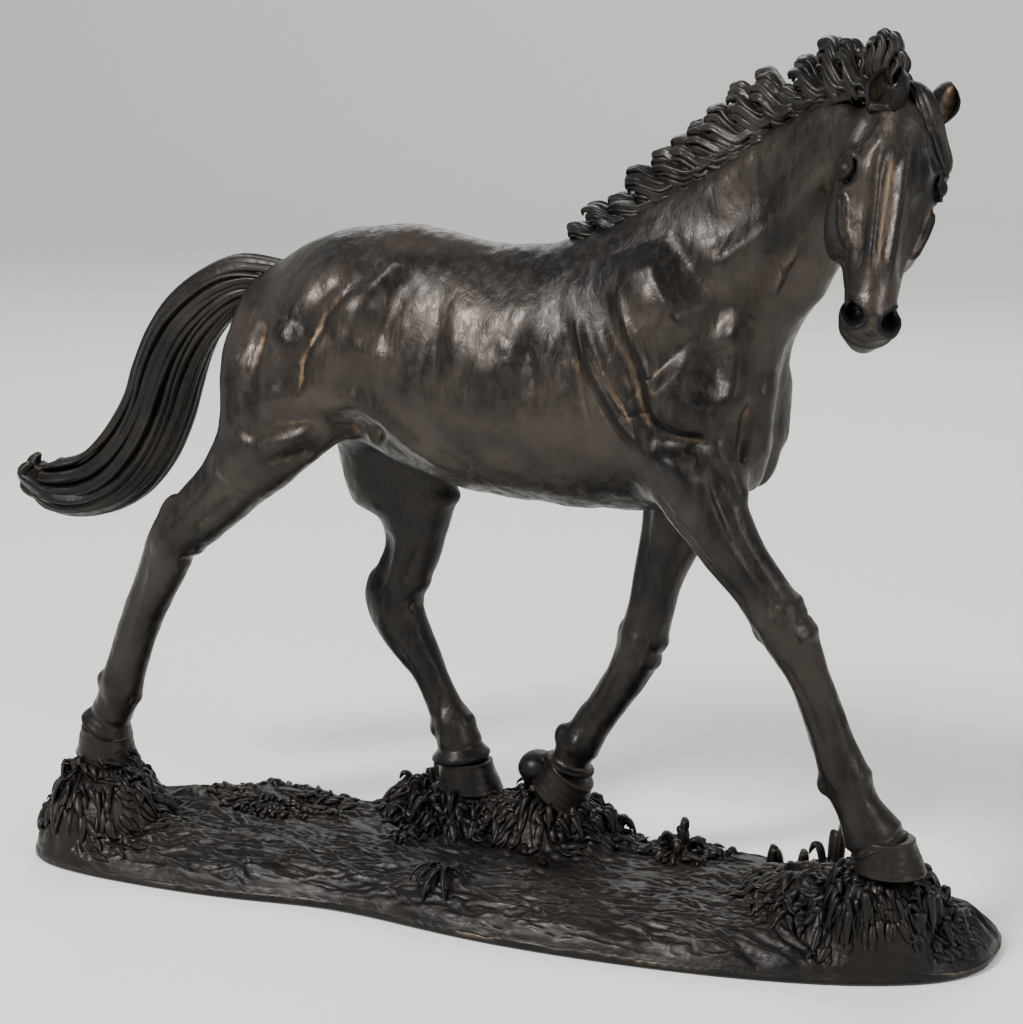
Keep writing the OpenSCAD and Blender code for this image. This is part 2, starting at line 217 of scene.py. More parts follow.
class Stroke:
    """A ridge (height over 0) or a crease along points, fading at its sides and its ends."""

    def __init__(self, points, width, height, flat=1.0, fade=0.3):
        self.metric = np.array([1.0, flat, 1.0])
        self.points = np.asarray(points, float)
        self.width, self.height, self.fade = width, height, fade
        reach = width * 2.2 / self.metric
        self.lo = self.points.min(0) - reach
        self.hi = self.points.max(0) + reach
        steps = np.linalg.norm(np.diff(self.points * self.metric, axis=0), axis=1)
        self.run = np.concatenate([[0], np.cumsum(steps)])

    def amount(self, points):
        """How far the stroke lifts the skin at each point."""
        near = np.full(len(points), FAR)
        place = np.zeros(len(points))
        for i in range(len(self.points) - 1):
            a = self.points[i] * self.metric
            span = self.points[i + 1] * self.metric - a
            q = points * self.metric - a
            h = np.clip(q @ span / (span @ span), 0, 1)
            gap = ((q - h[:, None] * span) ** 2).sum(1)
            closer = gap < near
            near = np.where(closer, gap, near)
            place = np.where(closer, self.run[i] + h * (self.run[i + 1] - self.run[i]), place)
        part = place / self.run[-1]
        ends = 1.0 if not self.fade else ease(np.minimum(part, 1 - part) / self.fade + 0.15)
        return self.height * ends * np.exp(-near / self.width ** 2)


class Sculpt:
    """Clay: forms joined, cut and pressed in turn."""

    CHUNK = 40000  # points worked on at once

    def __init__(self):
        self.steps = []

    def join(self, form, blend):
        self.steps.append((form, blend + 2, lambda d, p: smooth_min(d, form.distance(p), blend)))

    def cut(self, form, blend):
        self.steps.append((form, blend + 2, lambda d, p: smooth_max(d, -form.distance(p), blend)))

    def press(self, *strokes):
        for form in strokes:
            self.steps.append((form, 0.0, lambda d, p, form=form: d - form.amount(p)))

    def value(self, points):
        """The distance to the clay's skin, under 0 inside; a form only acts near itself."""
        out = np.full(len(points), FAR)
        for first in range(0, len(points), self.CHUNK):
            part = points[first:first + self.CHUNK]
            d = out[first:first + self.CHUNK]
            lo, hi = part.min(0), part.max(0)
            for form, reach, change in self.steps:
                low, high = form.lo - reach, form.hi + reach
                if (low > hi).any() or (high < lo).any():
                    continue
                near = np.nonzero(((part > low) & (part < high)).all(1))[0]
                if len(near):
                    d[near] = change(d[near], part[near])
        return out

    def slope(self, points, d):
        step = 0.2
        return np.stack([(self.value(points + step * e) - d) / step for e in np.eye(3)], 1)


def surface(sculpt, lo, hi, voxel):
    """Vertices and quads where the sculpt's value is 0; only blocks near the surface are sampled."""
    block = 5
    spare = 3.5  # the distances are rough
    half_diagonal = 0.87 * block * voxel
    count = np.ceil((np.asarray(hi, float) - lo) / (voxel * block)).astype(int)
    cell = np.stack(np.meshgrid(*(np.arange(n) for n in count), indexing="ij"), -1).reshape(-1, 3)
    middle = lo + (cell + 0.5) * block * voxel
    coarse = sculpt.value(middle)
    near = np.abs(coarse) < half_diagonal + spare
    inner = np.stack(np.meshgrid(*[np.arange(block)] * 3, indexing="ij"), -1).reshape(-1, 3)
    fine = np.sign(coarse)[:, None].repeat(block ** 3, 1).astype(np.float32) * 4
    samples = lo + (cell[near][:, None] * block + inner[None]) * voxel
    fine[near] = np.clip(sculpt.value(samples.reshape(-1, 3)), -4, 4).reshape(-1, block ** 3)
    dense = fine.reshape(*count, block, block, block).transpose(0, 3, 1, 4, 2, 5)
    grid = openvdb.FloatGrid(background=4.0)
    grid.copyFromArray(np.ascontiguousarray(dense.reshape(count * block)))
    vertices, quads = grid.convertToQuads(isovalue=0.0)
    vertices = vertices.astype(float) * voxel + lo
    # two steps along the slope bring each vertex onto the skin
    for _ in range(2):
        d = sculpt.value(vertices)
        g = sculpt.slope(vertices, d)
        shift = g * (d / np.maximum((g * g).sum(1), 0.3))[:, None]
        vertices -= np.clip(shift, -voxel * 0.5, voxel * 0.5)
    return vertices, quads[:, ::-1]


# --- Meshes ------------------------------------------------------------------------------------

def relief_of(vertices, normals, edges, rounds=2):
    """How sharply the skin bends at each vertex, per mm: over 0 on ridges, under 0 in creases."""
    a, b = edges.T
    step = vertices[b] - vertices[a]
    square = np.maximum((step * step).sum(1), 0.01)
    total = np.bincount(a, -2 * (normals[a] * step).sum(1) / square, len(vertices))
    total += np.bincount(b, 2 * (normals[b] * step).sum(1) / square, len(vertices))
    count = np.bincount(a, minlength=len(vertices)) + np.bincount(b, minlength=len(vertices))
    count = np.maximum(count, 1)
    bend = np.clip(total / count, -2, 2)
    for _ in range(rounds):
        near = np.bincount(a, bend[b], len(vertices)) + np.bincount(b, bend[a], len(vertices))
        bend = (bend + near / count) / 2
    return bend


def make_piece(name, vertices, faces, material, nodes, normals=None, relief=None, rubbed=1.0):
    """A mesh object from millimetres, which rides on the root body and stands for CAD nodes.

    Its relief, given or measured and multiplied by rubbed, drives the wear of its patina.
    """
    mesh = bpy.data.meshes.new(name)
    vertices = np.asarray(vertices)
    mesh.from_pydata((vertices * MM).tolist(), [], faces)
    mesh.materials.append(material)
    mesh.polygons.foreach_set("use_smooth", [True] * len(mesh.polygons))
    mesh.update()
    if relief is None:
        edges = np.zeros(len(mesh.edges) * 2, np.int32)
        mesh.edges.foreach_get("vertices", edges)
        ways = np.zeros(len(vertices) * 3, np.float32)
        mesh.vertices.foreach_get("normal", ways)
        relief = relief_of(vertices, ways.reshape(-1, 3), edges.reshape(-1, 2)) * rubbed
    bend = mesh.attributes.new("relief", "FLOAT", "POINT")
    bend.data.foreach_set("value", np.asarray(relief, np.float32))
    if normals is not None:
        mesh.normals_split_custom_set_from_vertices(normals.tolist())
    piece = bpy.data.objects.new(name, mesh)
    bpy.context.scene.collection.objects.link(piece)
    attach(piece, "root")
    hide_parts(*nodes)
    return piece


def vertex_normals(vertices, quads):
    """Area-weighted normals of a quad mesh."""
    a, b, c, d = (vertices[quads[:, i]] for i in range(4))
    face = np.cross(c - a, d - b)
    out = np.zeros_like(vertices)
    for i in range(4):
        np.add.at(out, quads[:, i], face)
    return out / np.maximum(np.linalg.norm(out, axis=1, keepdims=True), 1e-9)


def rings_to_faces(rings, sides, first=0):
    """Quads between closed rings, with both ends capped."""
    faces = []
    for i in range(rings - 1):
        for k in range(sides):
            a, b = first + i * sides + k, first + i * sides + (k + 1) % sides
            faces.append((a, b, b + sides, a + sides))
    faces.append(tuple(first + k for k in range(sides - 1, -1, -1)))
    faces.append(tuple(first + (rings - 1) * sides + k for k in range(sides)))
    return faces


class Bundle:
    """Many closed strands kept in one mesh."""

    def __init__(self):
        self.vertices, self.faces = [], []

    def strand(self, path, radius, flat=0.7, side=(0, 1, 0), grooves=4, depth=0.14, twist=0.0,
               sides=12, steps=5, phase=0.0):
        """A grooved strand along path; radius is one number for each of its points."""
        rows = catmull(np.hstack([np.asarray(path, float), np.asarray(radius, float)[:, None]]), steps)
        centre, r = rows[:, :3], np.maximum(rows[:, 3], 0.12)
        along = unit(np.gradient(centre, axis=0))
        across = unit(np.asarray(side, float) - along * (along @ np.asarray(side, float))[:, None])
        up = np.cross(along, across)
        turn = np.linspace(0, 2 * math.pi, sides, endpoint=False)
        part = np.linspace(0, 1, len(rows))[:, None]
        wave = 1 + depth * np.cos(grooves * turn[None] + twist * part * 6 + phase)
        ring = (centre[:, None] + up[:, None] * (r[:, None] * flat * wave * np.sin(turn))[..., None]
                + across[:, None] * (r[:, None] * wave * np.cos(turn))[..., None])
        first = sum(len(v) for v in self.vertices)
        self.vertices.append(ring.reshape(-1, 3))
        self.faces += rings_to_faces(len(rows), sides, first)

    def piece(self, name, material, slot, nodes, rubbed=1.0):
        """All the strands as one object."""
        return make_piece(name, np.vstack(self.vertices), self.faces, material, nodes,
                          rubbed=rubbed)


# --- Materials ---------------------------------------------------------------------------------

class Shader:
    """Wires a material's nodes; values are set by socket name, or by i and the socket's number."""

    def __init__(self, name):
        self.material = bpy.data.materials.new(name)
        self.material.use_nodes = True
        self.tree = self.material.node_tree
        self.tree.nodes.clear()
        output = self.tree.nodes.new("ShaderNodeOutputMaterial")
        self.shader = self.tree.nodes.new("ShaderNodeBsdfPrincipled")
        self.link(self.shader.outputs[0], output.inputs[0])
        self.place = self.tree.nodes.new("ShaderNodeTexCoord").outputs["Object"]

    def link(self, a, b):
        self.tree.links.new(a, b)

    def node(self, kind, **values):
        made = self.tree.nodes.new(kind)
        for key, value in values.items():
            if hasattr(made, key):
                setattr(made, key, value)
            else:
                socket = made.inputs[int(key[1:])] if key[0] == "i" and key[1:].isdigit() \
                    else made.inputs[key.replace("_", " ")]
                if isinstance(value, bpy.types.NodeSocket):
                    self.link(value, socket)
                else:
                    socket.default_value = value
        return made

    def stretch(self, x, y, z):
        return self.node("ShaderNodeMapping", Vector=self.place, Scale=(x, y, z)).outputs[0]

    def noise(self, scale, detail=3.0, roughness=0.55, vector=None, distortion=0.0):
        return self.node("ShaderNodeTexNoise", Vector=vector or self.place, Scale=scale,
                         Detail=detail, Roughness=roughness, Distortion=distortion).outputs[0]

    def ramp(self, value, low, high, a=0.0, b=1.0):
        made = self.node("ShaderNodeMapRange", i0=value, i1=low, i2=high, i3=a, i4=b)
        made.interpolation_type = "SMOOTHSTEP"
        return made.outputs[0]

    def math(self, operation, a, b):
        return self.node("ShaderNodeMath", operation=operation, i0=a, i1=b).outputs[0]

    def mix(self, factor, a, b):
        made = self.tree.nodes.new("ShaderNodeMix")
        made.data_type = "RGBA"
        for socket, value in ((made.inputs[0], factor), (made.inputs[6], a), (made.inputs[7], b)):
            if isinstance(value, bpy.types.NodeSocket):
                self.link(value, socket)
            else:
                socket.default_value = value if not isinstance(value, tuple) else (*value, 1)
        return made.outputs[2]

    def bump(self, height, distance, strength=1.0, under=None):
        made = self.node("ShaderNodeBump", Height=height, Distance=distance, Strength=strength)
        if under:
            self.link(under, made.inputs["Normal"])
        return made.outputs[0]

    def finish(self, colour, roughness, normal, metallic, **values):
        sockets = self.shader.inputs
        for name, value in (("Base Color", colour), ("Roughness", roughness), ("Normal", normal)):
            if isinstance(value, bpy.types.NodeSocket):
                self.link(value, sockets[name])
            elif value is not None:
                sockets[name].default_value = value
        sockets["Metallic"].default_value = metallic
        for name, value in values.items():
            sockets[name.replace("_", " ")].default_value = value
        return self.material


# Heights in metres between which painted shade darkens the bronze towards the ground
SHADE_TOP, SHADE_BOTTOM = 0.17, 0.04


def bronze(name, dark, tone, rub, rough, wear, edge, streak=(1, 1, 1), grain=0.12):
    """Patinated bronze: dark in its hollows, brown on its planes, rubbed to gold on its ridges.

    edge is the range of relief over which the rubbing sets in, and streak stretches the brush
    marks. Painted shade darkens the bronze towards the ground.
    """
    s = Shader(name)
    bend = s.node("ShaderNodeAttribute", attribute_name="relief").outputs["Fac"]
    cloud = s.noise(38, 4)
    brushed = s.noise(420, 3, 0.6, s.stretch(*streak), 0.6)
    hollow = s.ramp(bend, -0.06, -0.42)
    ridge = s.ramp(s.math("ADD", bend, s.math("MULTIPLY", s.math("SUBTRACT", brushed, 0.5), 0.5)), *edge)
    patch = s.ramp(s.noise(22, 2, 0.5), 0.47, 0.66)
    colour = s.mix(s.ramp(cloud, 0.35, 0.68), dark, tone)
    colour = s.mix(s.math("MULTIPLY", s.ramp(brushed, 0.42, 0.72), 0.35), colour, tone)
    colour = s.mix(s.math("MULTIPLY", ridge, s.math("ADD", s.math("MULTIPLY", patch, wear), wear * 0.35)),
                   colour, rub)
    colour = s.mix(s.math("MULTIPLY", hollow, 0.85), colour, tuple(c * 0.3 for c in dark))
    # painted shade: the colour darkens towards the ground, from below the belly to the ankles
    height = s.node("ShaderNodeSeparateXYZ", Vector=s.place).outputs[2]
    colour = s.mix(s.math("MULTIPLY", s.ramp(height, SHADE_TOP, SHADE_BOTTOM), 0.55), colour, dark)
    roughness = s.math("ADD", rough - 0.13, s.math("MULTIPLY", s.ramp(brushed, 0.3, 0.75), 0.26))
    roughness = s.math("ADD", roughness, s.math("MULTIPLY", hollow, 0.2))
    clay = s.bump(s.noise(90, 4, 0.55), 0.0016, grain * 2.2)
    fine = s.bump(brushed, 0.0005, grain * 4, clay)
    return s.finish(colour, roughness, fine, 0.62, Specular_IOR_Level=0.34, Coat_Weight=0.08,
                    Coat_Roughness=0.36)


def steel():
    s = Shader("zinc_steel")
    lines = s.noise(900, 2, 0.5, s.stretch(1, 1, 8))
    colour = s.mix(lines, (0.42, 0.42, 0.43), (0.62, 0.62, 0.63))
    return s.finish(colour, s.ramp(lines, 0.2, 0.8, 0.28, 0.45), s.bump(lines, 0.00006), 1.0)


def board():
    s = Shader("fibre_board")
    fleck = s.noise(700, 4, 0.7)
    cloud = s.noise(60, 2)
    colour = s.mix(fleck, (0.20, 0.12, 0.065), (0.34, 0.225, 0.13))
    colour = s.mix(s.math("MULTIPLY", cloud, 0.4), colour, (0.15, 0.09, 0.05))
    return s.finish(colour, s.ramp(fleck, 0.2, 0.8, 0.6, 0.8), s.bump(fleck, 0.0002, 0.6), 0.0)


def felt():
    s = Shader("black_felt")
    fuzz = s.noise(1500, 5, 0.8)
    fibre = s.noise(500, 3, 0.6, s.stretch(1, 3, 1), 2.0)
    colour = s.mix(fuzz, (0.006, 0.006, 0.006), (0.03, 0.029, 0.028))
    return s.finish(colour, s.ramp(fibre, 0.2, 0.8, 0.85, 0.98), s.bump(fuzz, 0.0004, 0.8), 0.0,
                    Sheen_Weight=0.3, Sheen_Roughness=0.5)


BODY_BRONZE = bronze("body_bronze", (0.0075, 0.0064, 0.0058), (0.047, 0.036, 0.029),
                     (0.34, 0.22, 0.12), 0.43, 0.6, (0.12, 0.55), (1, 1, 0.35))
HAIR_BRONZE = bronze("hair_bronze", (0.0065, 0.0056, 0.0052), (0.030, 0.025, 0.021),
                     (0.34, 0.26, 0.19), 0.46, 0.5, (0.5, 1.4), (1, 1, 1), 0.10)
HOOF_BRONZE = bronze("hoof_bronze", (0.009, 0.007, 0.006), (0.045, 0.033, 0.025),
                     (0.24, 0.16, 0.09), 0.46, 0.35, (0.35, 1.0), (1, 1, 0.3), 0.10)
GROUND_BRONZE = bronze("ground_bronze", (0.0065, 0.0052, 0.0046), (0.032, 0.024, 0.019),
                       (0.36, 0.28, 0.21), 0.47, 0.6, (0.40, 1.2), (0.3, 1, 1), 0.16)


# --- The horse's frame: stations in millimetres --------------------------------------------------

TORSO = Loft([
    (-90, 4, 160, 8, 8), (-83.5, 4, 160, 19.5, 16.5), (-72, 4, 160.5, 26.3, 22),
    (-58, 4, 163.2, 29.8, 25.5), (-43, 4, 164.3, 32.2, 26), (-26, 4, 161.1, 34.9, 25),
    (-8, 4, 157.4, 35.8, 26), (10, 4, 156.9, 36.8, 27), (26, 4, 158.4, 38.4, 26.5),
    (42, 4, 159.8, 38.7, 25.5), (54, 4, 158.6, 35.4, 24), (63.5, 4, 157, 29.2, 21.5),
    (71.5, 4, 154.2, 23.2, 18), (77.8, 4, 150, 13, 11)], (1, 0, 0), pinch=0.16)
NECK = Loft([
    (24, 4, 152, 22, 15), (41.5, 4, 168, 31.5, 21), (61, 4, 189, 28, 17.5), (77.3, 3, 205.7, 21.4, 13.2),
    (91, -1, 219, 17.2, 11.5), (102, -8, 227, 14.5, 10.5), (111, -14, 228, 13, 9)],
    (0.72, -0.12, 0.69), pinch=0.2)
RIGHT_FORE = Loft([
    (53.6, -11, 153, 15, 9), (60.8, -15, 135, 12, 9.5), (71, -15.5, 118, 8.6, 7.6),
    (81, -15, 105.5, 7.5, 6.8), (88, -14.5, 96, 7.7, 7.2), (94.6, -13.5, 83, 6, 5.4),
    (98.4, -12.5, 73.5, 5.6, 5), (101.4, -12, 65, 5.8, 5.2), (104.8, -11, 55, 6.7, 6.2),
    (108.8, -10.5, 46.5, 6.3, 5.9), (113.3, -10, 38.5, 8.6, 8.2), (115.4, -10, 34.8, 8.5, 8.0)],
    (0.46, 0, -0.89))
LEFT_FORE = Loft([
    (49, 17, 151, 14, 9), (46, 20, 131, 12, 9.5), (42, 22.5, 112, 9.6, 8.2),
    (38, 22.3, 98, 7.5, 6.8), (35, 21.7, 84, 7, 6.6), (32.7, 21, 75, 7.2, 7.0),
    (28.6, 20.3, 65.5, 6.1, 5.6), (23.6, 19.5, 57, 5.5, 5.1), (18.8, 19, 50, 5.7, 5.2),
    (14.6, 18.5, 43.5, 6.6, 6.1), (12.7, 18, 39.5, 6, 5.6), (11.3, 18, 35.6, 7.9, 7.6)],
    (-0.33, 0, -0.94))
RIGHT_HIND = Loft([
    (-60, -8, 163, 23, 9), (-66.3, -13, 148.5, 21.2, 10), (-71.6, -15.5, 133.7, 14.5, 10),
    (-82.8, -15.5, 120.7, 10.5, 8.9), (-93.9, -15.5, 110.5, 9, 7.6), (-103.4, -14.5, 102, 8.2, 7.2),
    (-108, -14, 93.5, 7.4, 6.7), (-117.7, -12.5, 74.5, 6.3, 5.5), (-123.8, -11.5, 60, 6.2, 5.5),
    (-126.8, -11, 52, 6.8, 6.2), (-130.3, -10.5, 44, 6.3, 6), (-134, -10, 36.5, 8.6, 8.2)],
    (-0.5, 0, -0.86))
LEFT_HIND = Loft([
    (-50, 15, 156, 23, 9.5), (-47.6, 20, 133, 19.2, 10.5), (-46.2, 22.5, 116, 17.5, 10.5),
    (-41.8, 23, 107.5, 12.1, 9), (-42, 22.7, 98, 9.0, 7.7), (-46, 22.3, 87, 8.6, 7.3),
    (-48.6, 22, 78.5, 9, 7.3), (-43.6, 21, 69, 7.4, 6.5), (-36.4, 20, 59.5, 5.5, 5.2),
    (-30.9, 19, 50.5, 5.3, 5.1), (-27.6, 18.5, 45, 6.2, 6.0), (-25.5, 18, 39.5, 6.8, 6.5),
    (-24.4, 18.1, 33, 9.2, 8.8)], (0.15, 0, -0.99))

# Soles: x, y, z and the backward tilt in degrees
HOOVES = {
    "right_fore_hoof": (116, -10, 29, 0), "left_fore_hoof": (5.9, 18, 27.5, 38),
    "right_hind_hoof": (-136, -10, 27.5, 12), "left_hind_hoof": (-23.5, 18, 24, 0)}

POLL = np.array([115.6, -13.6, 237.3])
HEAD_SCALE = 0.97


def turned(axis, degrees):
    """The matrix of a turn about X (0), Y (1) or Z (2)."""
    c, s = math.cos(math.radians(degrees)), math.sin(math.radians(degrees))
    i, j = (axis + 1) % 3, (axis + 2) % 3
    m = np.eye(3)
    m[i, i] = m[j, j] = c
    m[i, j], m[j, i] = -s, s
    return m


HEAD_TURN = turned(2, -60) @ turned(1, -23) @ turned(0, -12.5)


def in_head(out, left, down):
    """A place in the head's own frame: out of the face, to its left, down from the poll."""
    return POLL + HEAD_TURN @ (np.array([out, left, -down], float) * HEAD_SCALE)


def head_way(out, left, down):
    """A direction in the head's own frame."""
    return HEAD_TURN @ unit((out, left, -down))


def head_rows(rows):
    """Stations of a loft, from the head's frame to the model's."""
    return [(*in_head(n, s, w), a * HEAD_SCALE, b * HEAD_SCALE) for n, s, w, a, b in rows]


HEAD = Loft(head_rows([
    (-2, 0, -3, 4, 4.5), (-1.5, 0, 4, 9, 9.5), (-2.5, 0, 12, 11.4, 12), (-5, 0, 21, 13.8, 13),
    (-6.5, 0, 30, 14, 12), (-5, 0, 38, 11.4, 9.6), (-2.5, 0, 46, 8.4, 7.8), (-1.2, 0, 54, 6.4, 6.6),
    (-1, 0, 60, 6.4, 6.8), (-2, 0, 64, 5, 5.6), (-2.5, 0, 66.5, 3, 3.5)]),
    head_way(0, 0, 1), across=head_way(0, 1, 0))

GROUPS = {
    "torso": TORSO, "neck": NECK, "head": HEAD, "right_foreleg": RIGHT_FORE,
    "left_foreleg": LEFT_FORE, "right_hind_leg": RIGHT_HIND, "left_hind_leg": LEFT_HIND}


# --- Anatomy -----------------------------------------------------------------------------------

def mirrored(points):
    """The points on the horse's other side."""
    return [(x, 2 * MIDLINE - y, z) for x, y, z in points]


def both_sides(clay, points, width, height, flat=0.45, fade=0.3):
    """One stroke on the right flank and its mirror image on the left."""
    height = height * MUSCLE_DEPTH
    clay.press(Stroke(points, width, height, flat, fade),
               Stroke(mirrored(points), width, height, flat, fade))


def add_haunch(clay):
    side = MIDLINE - 27  # Y of the right side's skin
    # the croup's muscle, the long thigh muscle and the hamstring behind it
    both_sides(clay, [(-40, side + 6, 188), (-55, side + 4, 178), (-66, side + 3, 166)], 10, 2.6)
    both_sides(clay, [(-58, side, 172), (-62, side, 156), (-60, side, 142)], 10, 2.8)
    both_sides(clay, [(-76, side + 10, 164), (-79, side + 10, 148), (-76, side + 9, 136)], 8, 2.0)
    # the sheet of muscle from the point of the hip to the stifle, with the flank's hollow in front
    both_sides(clay, [(-32, side + 3, 187), (-38, side + 1, 172), (-46, side + 1, 154),
                      (-50, side + 2, 142)], 6.5, 2.6)
    both_sides(clay, [(-26, side + 4, 188), (-30, side + 2, 177), (-35, side + 1, 164)], 4.5, -2.2)
    both_sides(clay, [(-30, side + 5, 186), (-29, side + 6, 188)], 5, 1.8, fade=0)
    # seams between the muscles
    both_sides(clay, [(-38, side + 4, 186), (-48, side + 1, 174), (-54, side, 160),
                      (-55, side, 146)], 2.2, -1.1)
    both_sides(clay, [(-68, side + 5, 172), (-70, side + 4, 156), (-68, side + 4, 141)], 3.0, -1.8)
    both_sides(clay, [(-60, side, 153), (-64, side + 1, 146), (-67, side + 2, 139)], 2.2, 1.2)
    both_sides(clay, [(-69, side + 3, 134), (-60, side + 1, 136), (-51, side + 1, 140)], 2.2, 1.3)
    both_sides(clay, [(-70, side + 3, 129), (-61, side + 2, 131), (-52, side + 3, 135)], 2.6, -1.2)
    # the fold of skin from the stifle up and forward along the belly
    both_sides(clay, [(-50, side + 6, 143), (-44, side + 4, 148), (-38, side + 3, 150),
                      (-32, side + 4, 146), (-22, side + 7, 138), (-8, side + 11, 129)], 3.0, 2.2)
    both_sides(clay, [(-47, side + 8, 137), (-39, side + 8, 142), (-31, side + 9, 138)], 4.0, -2.4)


def add_barrel(clay):
    side = MIDLINE - 28  # Y of the right side's skin
    # two broad swells, the ribs, two dents and the line of the breast
    both_sides(clay, [(-14, side, 168), (2, side - 1, 170), (14, side, 165)], 17, 1.2)
    both_sides(clay, [(-20, side + 2, 152), (0, side, 144), (22, side, 142)], 10, 1.0)
    for k in range(5):
        x = -16 + 9.5 * k
        both_sides(clay, [(x, side + 1, 176), (x - 2, side, 162), (x - 8, side + 1, 147)], 2.4, 0.35)
    both_sides(clay, [(-2, side, 172), (3, side, 168)], 4.5, -0.5, fade=0)
    both_sides(clay, [(10, side, 174), (14, side, 169)], 4, -0.45, fade=0)
    clay.press(Stroke([(30, 4, 121), (48, 4, 121), (64, 4, 126)], 6, 0.8, 0.8))


def add_shoulder(clay):
    side = MIDLINE - 28  # Y of the right side's skin
    # the shoulder blade, the muscle behind the arm and the point of the shoulder
    both_sides(clay, [(44, side + 6, 198), (50, side + 2, 184), (58, side + 1, 172)], 9, 2.8)
    both_sides(clay, [(52, side, 164), (60, side, 156), (58, side + 1, 148)], 10, 2.8)
    both_sides(clay, [(68, side + 5, 181), (74, side + 6, 172), (75, side + 7, 162),
                      (73, side + 8, 151)], 4.6, 2.8)
    both_sides(clay, [(66, side + 3, 172), (66, side + 3, 163), (64, side + 3, 156)], 4.0, -1.6)
    both_sides(clay, [(51, side, 179), (52, side, 175)], 2.4, -1.0, fade=0)
    # the spine of the blade and the seam in front of it
    both_sides(clay, [(43, side + 6, 202), (50, side + 2, 190), (58, side + 1, 178),
                      (64, side + 2, 170)], 1.8, 1.0)
    both_sides(clay, [(50, side + 9, 200), (59, side + 5, 192), (66, side + 4, 184),
                      (70, side + 4, 174)], 3.2, -2.2)
    # long folds of skin behind the shoulder
    folds = [
        ([(20, 184), (25, 174), (29, 165), (32, 152), (33, 142)], 2.0, -1.3),
        ([(22, 185), (28, 176), (34, 163), (43, 149), (50, 141)], 2.0, 1.5),
        ([(27, 183), (33, 172), (39, 160), (47, 148), (52, 140)], 1.5, -0.9),
        ([(33, 187), (39, 175), (45, 164), (50, 152), (53, 141)], 2.4, -2.2),
        ([(36, 190), (42, 178), (48, 167), (53, 154)], 2.0, 1.3),
        ([(12, 172), (16, 162), (21, 150)], 2.0, -0.6)]
    for points, width, height in folds:
        both_sides(clay, [(x, side, z) for x, z in points], width, height)


def add_breast(clay):
    # two breast muscles with a deep groove between them, and one more above each foreleg
    both_sides(clay, [(75, -4, 163), (76, -5, 152), (73, -5, 139)], 6.0, 1.9, 1)
    clay.press(Stroke([(83, 4, 170), (81, 4, 152), (78, 4, 138), (71, 4, 126)], 2.6, -3.6, 1))
    both_sides(clay, [(75, -11, 158), (74, -12, 147), (71, -13, 135)], 1.8, -2.0, 1)
    # the top of the foreleg stands off the breast
    both_sides(clay, [(50, -24, 147), (59, -25, 146), (68, -22, 146)], 2.6, -1.4)
    both_sides(clay, [(53, -25, 143), (60, -25, 139), (66, -24, 133)], 2.6, 1.4)
    both_sides(clay, [(68, -19, 147), (74, -17, 138), (79, -16, 128)], 2.6, 1.4)


def add_neck(clay):
    # the strap from behind the ear to the point of the shoulder, and the groove under it
    right = [(101, -18, 226), (90, -13, 214), (80, -11, 203), (68, -14, 194), (58, -19, 194)]
    left = [(110, 0, 222), (97, 10, 210), (86, 14, 198), (76, 20, 186), (66, 24, 182)]
    for strap in (right, left):
        clay.press(Stroke(strap, 4.6, 3.0, 0.7))
    clay.press(Stroke([(104, -18, 218), (92, -13, 205), (82, -11, 194), (75, -14, 182)], 3.2, -3.2, 0.7),
               Stroke([(109, 2, 214), (97, 11, 200), (88, 14, 188), (81, 19, 178)], 3.2, -3.2, 0.7))
    # the throat's windpipe and the vein beside it
    clay.press(Stroke([(102, -6, 208), (94, 0, 192), (88, 3, 176)], 6.5, 2.2, 0.8),
               Stroke([(100, -15, 214), (92, -10, 204), (84, -8, 192), (80, -10, 181)], 1.0, 0.7, 0.7))
    # the crest's long muscle and the seams beside it
    clay.press(Stroke([(50, -9, 206), (62, -7, 214), (78, -8, 225), (94, -14, 233)], 5.0, 1.4, 0.7),
               Stroke([(50, 17, 206), (62, 14, 214), (78, 11, 224), (92, 7, 231)], 5.0, 1.4, 0.7),
               Stroke([(80, -12, 229), (72, -12, 218), (65, -14, 209)], 1.8, -1.1, 0.7),
               Stroke([(92, -16, 228), (84, -13, 219), (76, -13, 210)], 1.6, -0.9, 0.7),
               Stroke([(84, 14, 222), (74, 15, 212), (64, 18, 203)], 1.8, -1.1, 0.7))


